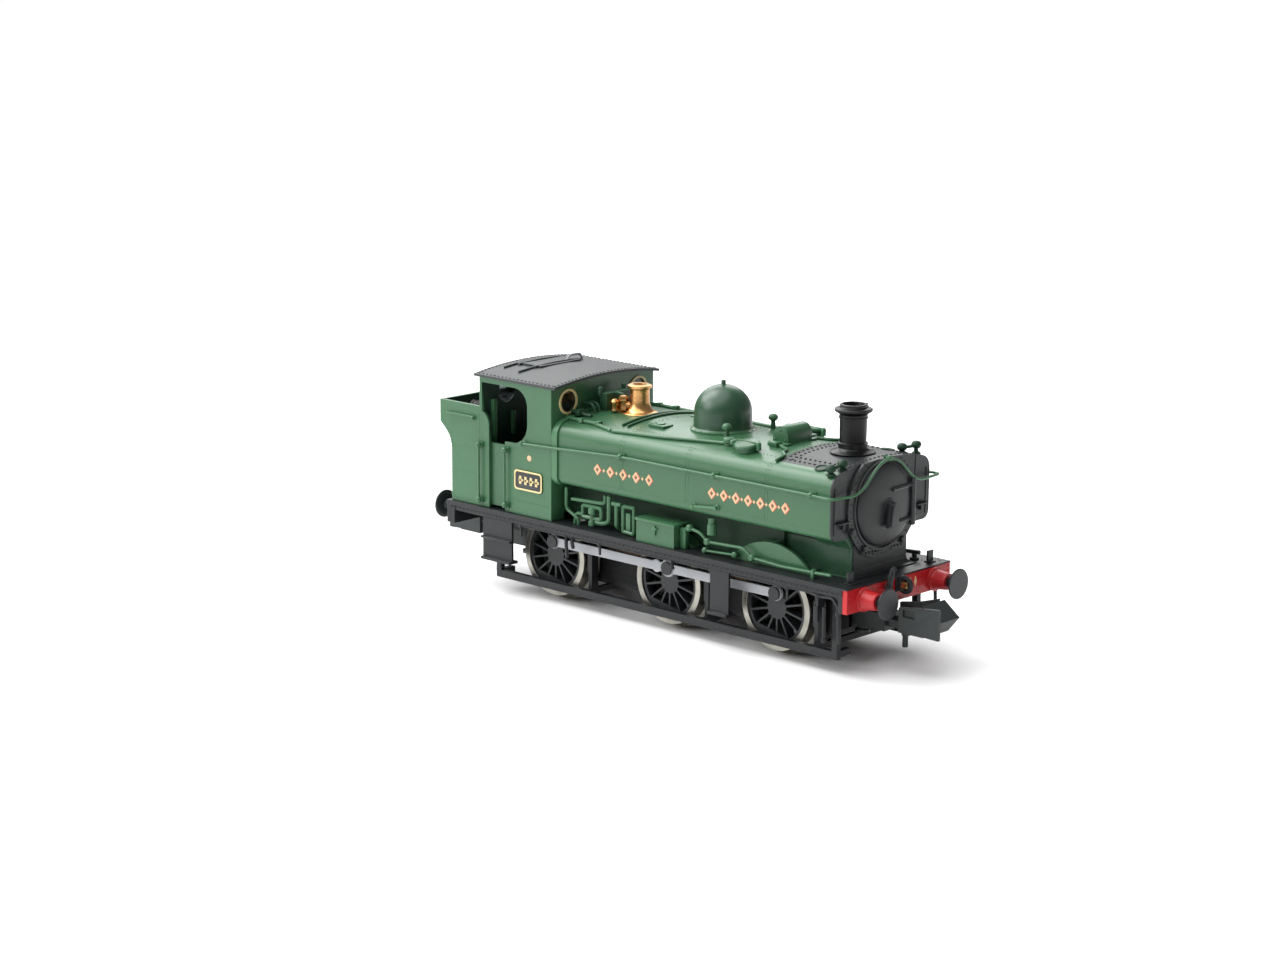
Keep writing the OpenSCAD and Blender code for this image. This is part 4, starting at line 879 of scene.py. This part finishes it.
# --- pipework low on both sides
PIPE_Y = 7.0
ROD_Y = 7.25
CLIP_Y = 7.9
pipes = bmesh.new()
plate_pipes = bmesh.new()
for side in SIDES:
    y, wall = side * PIPE_Y, side * 6.3
    # Injector pipes and the frames between them, below the rear of the tank.
    down = [(-13.9, y, 12.9), (-13.9, y, 10.56), (-12.05, y, 9.7), (-12.05, y, PLATE)]
    tube(pipes, down, 0.2, 8, 0.5)
    tube(pipes, [(-13.05, y, 11.75), (-8.1, y, 12.0), (-8.1, y, 12.9)], 0.2, 8, 0.5)
    box = [(-11.4, y, 10.1), (-11.4, y, 11.35), (-8.66, y, 11.35), (-8.66, y, 10.1), (-11.4, y, 10.1)]
    tube(pipes, box, 0.22, 8, 0.3)
    tube(pipes, [(-11.4, y, 10.3), (-12.4, y, 10.3), (-12.6, y, 9.1)], 0.2, 8, 0.4)
    body = [(0.42, 0), (0.42, 0.5), (0.3, 0.6), (0.3, 1.2), (0.45, 1.3), (0.45, 1.9), (0.2, 2.1), (0, 2.1)]
    lathe(pipes, (-10.0, y, 9.3), UP, body, 12)
    tube(pipes, [(-7.5, y, 12.9), (-7.5, y, 10.06), (-8.3, y, 9.73), (-9.4, y, 9.73)], 0.26, 10, 0.5)
    tube(pipes, [(-6.4, y, 12.4), (-6.4, y, 9.75), (-6.4, wall, 9.3)], 0.24, 8, 0.4)
    tube(pipes, [(-7.0, y, 12.2), (-5.8, y, 12.25)], 0.24, 8)
    box = [(-5.4, y, 9.4), (-5.4, y, 12.15), (-3.85, y, 12.2), (-3.85, y, 9.3), (-5.4, y, 9.4)]
    tube(pipes, box, 0.22, 8, 0.2)
    slab(pipes, (-4.95, y - 0.12, 9.6), (-4.3, y + 0.12, 11.5), 0.06)
    tube(pipes, [(-5.4, y, 9.4), (-5.4, wall, 9.1)], 0.2, 8)
    # Reversing rod with its joints, and the short rod below it. The far one ends earlier.
    rod = [(4.33, 11.47), (5.83, 11.19), (6.84, 10.41), (11.75, 10.58), (12.97, 9.76), (17.05, 9.54)]
    rod.append((23.36, 9.74) if side < 0 else (20.6, 9.6))
    tube(pipes, [(x, side * ROD_Y, z) for x, z in rod], 0.18, 8, 0.4)
    for x, z in rod[:5:2]:
        joint = [(0.38, 0), (0.38, 0.45), (0.24, 0.6), (0, 0.62)]
        lathe(pipes, (x, y, z), (0, side, 0), joint, 12)
    short = [(6.36, 9.37), (10.43, 9.6)]
    tube(pipes, [(x, side * 7.1, z) for x, z in short], 0.15, 8)
    for x, z in short:
        joint = [(0.3, 0), (0.36, 0.2), (0.36, 0.45), (0.2, 0.62), (0, 0.65)]
        lathe(pipes, (x, side * 6.75, z), (0, side, 0), joint, 12)
    pot = [(0.3, 0), (0.5, 0.12), (0.5, 1.2), (0.4, 1.3), (0.4, 1.9), (0, 1.9)]
    lathe(pipes, (7.2, y, 11.1), UP, pot, 14)
    slab(pipes, (2.9, side * 6.6, 9.05), (3.7, side * 7.2, 11.3), 0.1)
    slab(pipes, (20.9, side * 6.9, PLATE), (21.3, side * 7.5, 10.0), 0.08)
    # Pipe clipped under the edge of the running plate, with its turned-down front end.
    y, under = side * CLIP_Y, plate_low.z
    run = [(-24.5, 7.82), (18.15, 7.8), (20.97, 7.87), (22.37, 7.57), (24.22, 7.73), (24.93, 7.03),
           (25.02, 5.39), (25.08, 3.2)]
    tube(plate_pipes, [(x, y, z) for x, z in run], 0.19, 8, 0.5)
    for x, foot in ((-12.9, 5.4), (-12.0, 6.6), (2.6, 6.9)):
        tube(plate_pipes, [(x, y, 7.85), (x, side * 8.1, 7.3), (x, y, foot)], 0.2, 8, 0.3)
    clips = ((-20.0, 7.85), (-8.0, 7.85), (8.0, 7.85), (18.3, 7.82), (22.3, 7.6), (24.95, 6.2))
    for x, z in clips:
        disc(plate_pipes, (x, y, z - 0.25), UP, 0.32, 0.5)
        slab(plate_pipes, (x - 0.12, side * 7.8, z), (x + 0.12, side * 8.0, under + 0.1), 0.03)
    y = side * 7.6
    tube(plate_pipes, [(22.9, y, under), (22.9, y, 3.0)], 0.2, 8)
    disc(plate_pipes, (22.9, y, 2.8), UP, 0.3, 0.4)
    slab(plate_pipes, (21.6, side * 7.2, 4.8), (22.2, side * 7.8, under + 0.05), 0.08)
piece("side_pipes", pipes, "green", ["side_pipework"])
piece("running_plate_pipes", plate_pipes, "black")

lever = bmesh.new()
pivot = [(0.34, 0), (0.34, 0.12), (0.22, 0.18), (0.22, 0.5), (0, 0.52)]
ends = ((5.55, 14.14), (8.68, 14.45))
for side in SIDES:
    tube(lever, [(x, side * (TANK + 0.3), z) for x, z in ends], 0.15, 8)
    for x, z in ends:
        lathe(lever, (x, side * (TANK - 0.02), z), (0, side, 0), pivot, 12)
piece("tank_side_levers", lever, "green")

# --- running plate and beams
studs = bmesh.new()
for side in SIDES:
    y = side * EDGE
    rivet_row(studs, (-30.6, y, 8.35), (25.8, y, 8.35), 86, (0, side, 0), 0.1, 0.06)
    y = side * (EDGE - 0.3)
    for x0, x1, count in ((-14.0, -4.2, 14), (14.5, 25.9, 15), (-3.0, 12.0, 15)):
        rivet_row(studs, (x0, y, PLATE), (x1, y, PLATE), count, UP, 0.09, 0.05)
    for x in (24.2, 25.7):
        rivet_row(studs, (x, side * 5.4, PLATE), (x, side * 7.6, PLATE), 3, UP, 0.1, 0.06)
piece("running_plate_rivets", studs, "black")

BUFFER_Y = 5.75
flange = [(1.05, -0.02), (1.05, 0.16), (0.9, 0.22), (0.86, 0.22), (0.86, -0.02)]
for end, face, way, look in (("front", BEAM, 1, "red"), ("rear", REAR, -1, "black")):
    studs = bmesh.new()
    out = (way, 0, 0)
    for side in SIDES:
        y = side * BUFFER_Y
        for place in [(face, y + offset, z) for offset in (-0.85, 0.85) for z in (6.9, 8.35)]:
            rivet(studs, place, out, 0.13, 0.09)
        for place in [(face, side * dy, z) for dy in (8.05, 3.2) for z in (6.7, 7.4, 8.1, 8.6)]:
            rivet(studs, place, out, 0.1, 0.07)
        lathe(studs, (face, y, 7.62), out, flange, 28)
        for z in (7.35, 8.6):
            rivet(studs, (face, side * 1.15, z), out, 0.12, 0.09)
    piece(end + "_beam_rivets_and_flanges", studs, look)
accents = bmesh.new()
for y in (1.75, 2.55):
    mark = [(y - 0.25, 7.95), (y, 7.4), (y + 0.25, 7.95), (y, 8.5)]
    prism(accents, mark, 0, BEAM - 0.03, BEAM + 0.05, 0)
piece("front_beam_marks", accents, "gold")

HOOK_Y = -0.35
LINK_R = 0.72
HOSE_Y = -2.35
bar = bmesh.new()
shank = bmesh.new()
# Lamp bracket on the far side of the front platform.
tube(bar, [(22.3, 6.2, 9.8), (24.0, 6.4, 9.85)], 0.22, 8)
foot = [(0.5, 0), (0.5, 0.2), (0.26, 0.3), (0.26, 0.7), (0, 0.75)]
lathe(bar, (23.4, 6.3, PLATE), UP, foot, 12)
for face, way in ((BEAM, 1), (REAR, -1)):
    # Draw hook: its plate on the beam, the link and the shank through it.
    slab(bar, (face - way * 0.05, -0.75, 7.45), (face + way * 0.22, 0.55, 9.0), 0.06)
    link = [(face + way + LINK_R * cos(a), HOOK_Y, 8.25 + LINK_R * sin(a))
            for a in arc(0, 360, 18)]
    tube(bar, link, 0.24, 8)
    slab(bar, (face, -0.55, 8.05), (face + way * 0.5, -0.1, 8.5), 0.08)
    slab(shank, (face + way * 0.55, -0.55, 7.9), (face + way * 1.4, -0.12, 8.55), 0.12)
    # Vacuum pipe, rising from the beam and ending in a soft rounded hose.
    x = face + way * 0.62
    y = HOSE_Y - 0.15
    hose = [(face + way * 0.1, y, 6.4), (face + way * 0.6, y, 7.4), (x, HOSE_Y, 9.0),
            (x, HOSE_Y + 0.35, 10.0), (face + way * 0.75, HOSE_Y + 0.45, 10.2)]
    tube(bar, hose, 0.33, 12, 0.5)
    for z in (8.2, 9.3):
        disc(bar, (x, HOSE_Y + (z - 9.0) * 0.3, z), (0, 0.2, 1), 0.44, 0.22, 14)
    # Lamp irons above the two buffers.
    x = face - way * 1.2
    for y in (-6.5, 6.5):
        slab(bar, (x - 0.12, y - 0.45, PLATE), (x + 0.12, y + 0.45, 10.3), 0.05)
        slab(bar, (x - 0.45, y - 0.45, PLATE), (x + 0.45, y + 0.45, PLATE + 0.14), 0.05)
piece("beam_fittings", bar, "smoke")
piece("hook_shanks", shank, "brass")

tool = bmesh.new()
for side in SIDES:
    inner, outer = sorted((side * box_high.y, side * (box_high.y - 2.3)))
    x, z = box_low.x, box_high.z
    slab(tool, (x - 0.06, inner - 0.05, z - 0.24), (box_high.x + 0.06, outer + 0.05, z + 0.05), 0.1)
    # Hasp and catch.
    back, front, catch = (side * (box_high.y + proud) for proud in (-0.15, 0.08, 0.12))
    slab(tool, (x + 2.6, back, z - 1.5), (x + 2.95, front, z - 0.5), 0.06)
    slab(tool, (x + 2.55, back, z - 0.9), (x + 3.2, catch, z - 0.7), 0.05)
piece("toolbox_lids", tool, "green")

# --- cab, bunker and plates
PLATE_BACK, PLATE_FRONT, PLATE_FOOT, PLATE_HEAD = -20.7, -16.46, 11.9, 14.1


def plate_outline(inset, radius):
    low = (PLATE_BACK + inset, PLATE_FOOT + inset)
    return rounded_outline(*low, PLATE_FRONT - inset, PLATE_HEAD - inset, radius)


fields = bmesh.new()
borders = bmesh.new()
bars = bmesh.new()
bar_z = (PLATE_FOOT + PLATE_HEAD) / 2
for side in SIDES:
    y = side * CAB
    prism(fields, plate_outline(0, 0.35), 1, y - side * 0.03, y + side * 0.1, 0.02)
    outer, inner = plate_outline(0, 0.4), plate_outline(0.18, 0.28)
    part = bmesh.new()
    rings = [[part.verts.new((x, y + side * proud, z)) for x, z in outline]
             for outline, proud in ((outer, 0), (outer, 0.15), (inner, 0.15), (inner, 0.06))]
    for first, second in zip(rings, rings[1:]):
        bridge(part, first, second)
    merge(borders, part)
    back, front = y + side * 0.05, y + side * 0.15
    for i in range(4):
        x = PLATE_BACK + 0.75 + i * 0.82
        slab(bars, (x, back, PLATE_FOOT + 0.65), (x + 0.34, front, PLATE_HEAD - 0.65), 0.03)
        slab(bars, (x - 0.06, back, bar_z - 0.14), (x + 0.56, front, bar_z + 0.14), 0.03)
piece("number_plate_fields", fields, "plate", ["number_plates"])
piece("number_plate_borders", borders, "gilt")
piece("number_plate_bars", bars, "gilt")

dots = bmesh.new()
dot = [(0.32, 0), (0.32, 0.02), (0.28, 0.04), (0, 0.04)]
for side in SIDES:
    lathe(dots, (-18.5, side * (CAB - 0.01), 15.56), (0, side, 0), dot, 20)
piece("cab_side_spots", dots, "gold")

# Rivet lines on the cab and bunker sides: start, end and count, in x and z.
CAB_LINES = (((-15.2, 9.6), (-15.2, 20.6), 26), ((-21.0, 10.6), (-15.6, 10.6), 13),
             ((-30.9, 9.7), (-30.9, 18.6), 22), ((-30.4, 9.5), (-26.6, 9.5), 10))
bunker_back = REAR + 0.5
studs = bmesh.new()
for side in SIDES:
    y = side * CAB
    for (x0, z0), (x1, z1), count in CAB_LINES:
        rivet_row(studs, (x0, y, z0), (x1, y, z1), count, (0, side, 0), 0.07, 0.045)
    for z in (12.6, 15.4):
        rivet_row(studs, (-27.0, y, z), (-30.4, y, z), 8, (0, side, 0), 0.06, 0.04)
    y = side * 7.7
    rivet_row(studs, (bunker_back, y, 9.6), (bunker_back, y, 14.7), 14, BACKWARD, 0.09, 0.06)
    rivet_row(studs, (bunker_low.x, y, 18.1), (bunker_low.x, y, 20.0), 6, BACKWARD, 0.09, 0.06)
    y, grip = side * 5.9, REAR + 0.1
    grab = [(bunker_back, y, 10.4), (grip, y, 10.4), (grip, y, 14.0), (bunker_back, y, 14.0)]
    tube(studs, grab, 0.12, 8, 0.2)
for z in (9.6, 14.7):
    rivet_row(studs, (bunker_back, -7.2, z), (bunker_back, 7.2, z), 28, BACKWARD, 0.08, 0.05)
for y in (-1.6, 1.6):
    slab(studs, (REAR - 0.1, y - 0.9, 11.2), (REAR + 0.55, y + 0.9, 11.4), 0.05)
piece("cab_and_bunker_rivets", studs, "green")

# --- cab roof and coal
ROOF_HALF = roof_high.y
ROOF_RISE = 0.7
ROOF_R = (ROOF_HALF ** 2 + ROOF_RISE ** 2) / (2 * ROOF_RISE)
ROOF_TOP = roof_high.z - 0.25


def roof_z(y):
    """Height of the roof's top surface at y."""
    return ROOF_TOP - ROOF_R + sqrt(ROOF_R ** 2 - y * y)


top = bmesh.new()
for side in SIDES:
    for x in (-26.6, -14.75):
        for i in range(15):
            y = side * (0.35 + i * 0.54)
            rivet(top, (x, y, roof_z(y)), (0, y / ROOF_R, 1), 0.14, 0.09)
    y = side * (ROOF_HALF - 0.35)
    rivet_row(top, (-26.4, y, roof_z(y)), (-15.0, y, roof_z(y)), 20, (0, y / ROOF_R, 1), 0.13, 0.09)
# Two runners that follow the roof's curve, with the ventilator's plate between them.
for x, y0, y1 in ((-25.2, -5.3, 2.5), (-22.3, -5.9, 2.0)):
    across = [y0 + (y1 - y0) * i / 8 for i in range(9)]
    tube(top, [(x, y, roof_z(y) + 0.08) for y in across], 0.15, 6)
slab(top, (-24.5, -3.2, roof_z(0) - 0.25), (-21.6, 3.2, roof_z(0) + 0.12), 0.08)
piece("roof_details", top, "roof")
loop = bmesh.new()
wire = [(1.9, roof_z(1.9)), (2.3, 25.2), (4.0, 25.2), (4.4, roof_z(4.4))]
tube(loop, [(-22.6, y, z) for y, z in wire], 0.13, 8, 0.35)
piece("roof_loop_bracket", loop, "rod")

random.seed(7)
lumps = bmesh.new()
well = cab_high.y - 0.9
for i in range(260):
    x = random.uniform(bunker_low.x + 1.3, cab_low.x - 0.7)
    y = random.uniform(-well, well)
    heap = 1 - ((x + 29.0) / 3.4) ** 2 * 0.4 - (y / well) ** 2 * 0.45
    z = bunker_high.z - 1.6 + 0.95 * heap + random.uniform(-0.25, 0.1)
    part = bmesh.new()
    bmesh.ops.create_icosphere(part, subdivisions=1, radius=random.uniform(0.35, 0.68))
    for v in part.verts:
        v.co *= random.uniform(0.72, 1.12)
    roll = Matrix.Rotation(random.uniform(0, 3), 3, "X")
    bmesh.ops.rotate(part, verts=part.verts, cent=(0, 0, 0), matrix=roll)
    bmesh.ops.translate(part, verts=part.verts, vec=(x, y, z))
    merge(lumps, part)
bed = (bunker_low.x + 0.9, -well, bunker_high.z - 3.2)
slab(lumps, bed, (cab_low.x - 0.3, well, bunker_high.z - 1.1), 0.2)
piece("coal_lumps", lumps, "coal", ["coal_load"], angle=15)

# --- CAD nodes with a look of their own
# The dome and the boiler under the tanks wear darker copies of the green that stand for painted shade.
NODE_LOOK = {"window_rims": "gilt", "axle_bushes": "bronze", "chassis_screws": "buffer", "dome": "dome",
             "boiler": "under"}
for name, look in NODE_LOOK.items():
    dress(nodes[name], look)
# The cab's inner faces, the well of the bunker and the roof's underside take the dark cab interior look as
# painted shade.
INSIDES = (
    ("cab_shell", cab_low + Vector((0.1, 0.9, 0)), cab_high - Vector((0.1, 0.9, 0))),
    ("cab_shell", (cab_low.x + 0.1, -CAB + 0.15, 16.45), cab_high - Vector((0.1, 0.15, 0))),
    ("bunker", (bunker_low.x + 0.1, -CAB + 0.15, 17.7), bunker_high - Vector((-1, 0.15, 0.1))),
    ("cab_roof", (-40, -20, 20), (0, 20, roof_low.z + 0.02)),
)
for name, low, high in INSIDES:
    dress_inside(nodes[name], low, high, "cab")

# --- camera, light and floor
CAMERA_PLACE = (0.203746, -0.226216, 0.082370)
azimuth, elevation, roll = radians(42.9888), radians(12.4875), radians(0.3654)
flat = cos(elevation)
back = Vector((sin(azimuth) * flat, -cos(azimuth) * flat, sin(elevation)))
level = Vector((cos(azimuth), sin(azimuth), 0))
upright = back.cross(level)
right = level * cos(roll) + upright * sin(roll)
up = upright * cos(roll) - level * sin(roll)
camera = bpy.data.objects.new("camera", bpy.data.cameras.new("camera"))
bpy.context.scene.collection.objects.link(camera)
bpy.context.scene.camera = camera
turned_axes = Matrix((right, up, back)).transposed().to_4x4()
camera.matrix_world = Matrix.Translation(CAMERA_PLACE) @ turned_axes
camera.data.lens = 81.72
camera.data.sensor_width = 36
camera.data.clip_start = 0.01
camera.data.clip_end = 20


def lamp(name, kind, power, way):
    """A light that shines along way."""
    light = bpy.data.objects.new(name, bpy.data.lights.new(name, kind))
    light.data.energy = power
    light.rotation_mode = "QUATERNION"
    light.rotation_quaternion = Vector(way).to_track_quat("-Z", "Y")
    bpy.context.scene.collection.objects.link(light)
    return light


def softbox(name, place, target, size, watts):
    """A rectangular light at place, turned towards the target and not seen itself."""
    light = lamp(name, "AREA", watts, Vector(target) - Vector(place))
    light.data.shape = "RECTANGLE"
    light.data.size, light.data.size_y = size
    light.visible_camera = False
    light.location = place


softbox("overhead_softbox", (-0.45, -0.12, 0.52), (0, 0, 0), (0.4, 0.6), 4.5)
softbox("left_softbox", (-0.30, -0.50, 0.30), (0, 0, 0.01), (0.35, 0.30), 1.6)
softbox("back_softbox", (-0.50, 0.47, 0.42), (0, 0, 0.02), (0.7, 0.40), 3.2)
sun = lamp("soft_sun", "SUN", 3.2, (0.25, 0.35, -1))
sun.data.angle = radians(80)
world = bpy.data.worlds.new("studio")
bpy.context.scene.world = world
world.use_nodes = True
world.node_tree.nodes["Background"].inputs["Color"].default_value = (1, 1, 1, 1)
world.node_tree.nodes["Background"].inputs["Strength"].default_value = 0.25
bpy.context.scene.view_settings.view_transform = "Standard"

floor_mesh = bpy.data.meshes.new("floor")
floor_mesh.from_pydata([(-8, -8, 0), (8, -8, 0), (8, 8, 0), (-8, 8, 0)], [], [(0, 1, 2, 3)])
floor = bpy.data.objects.new("floor", floor_mesh)
bpy.context.scene.collection.objects.link(floor)
floor.data.materials.append(new_material("pale_floor", (0.88, 0.88, 0.88), 0.7)[0])
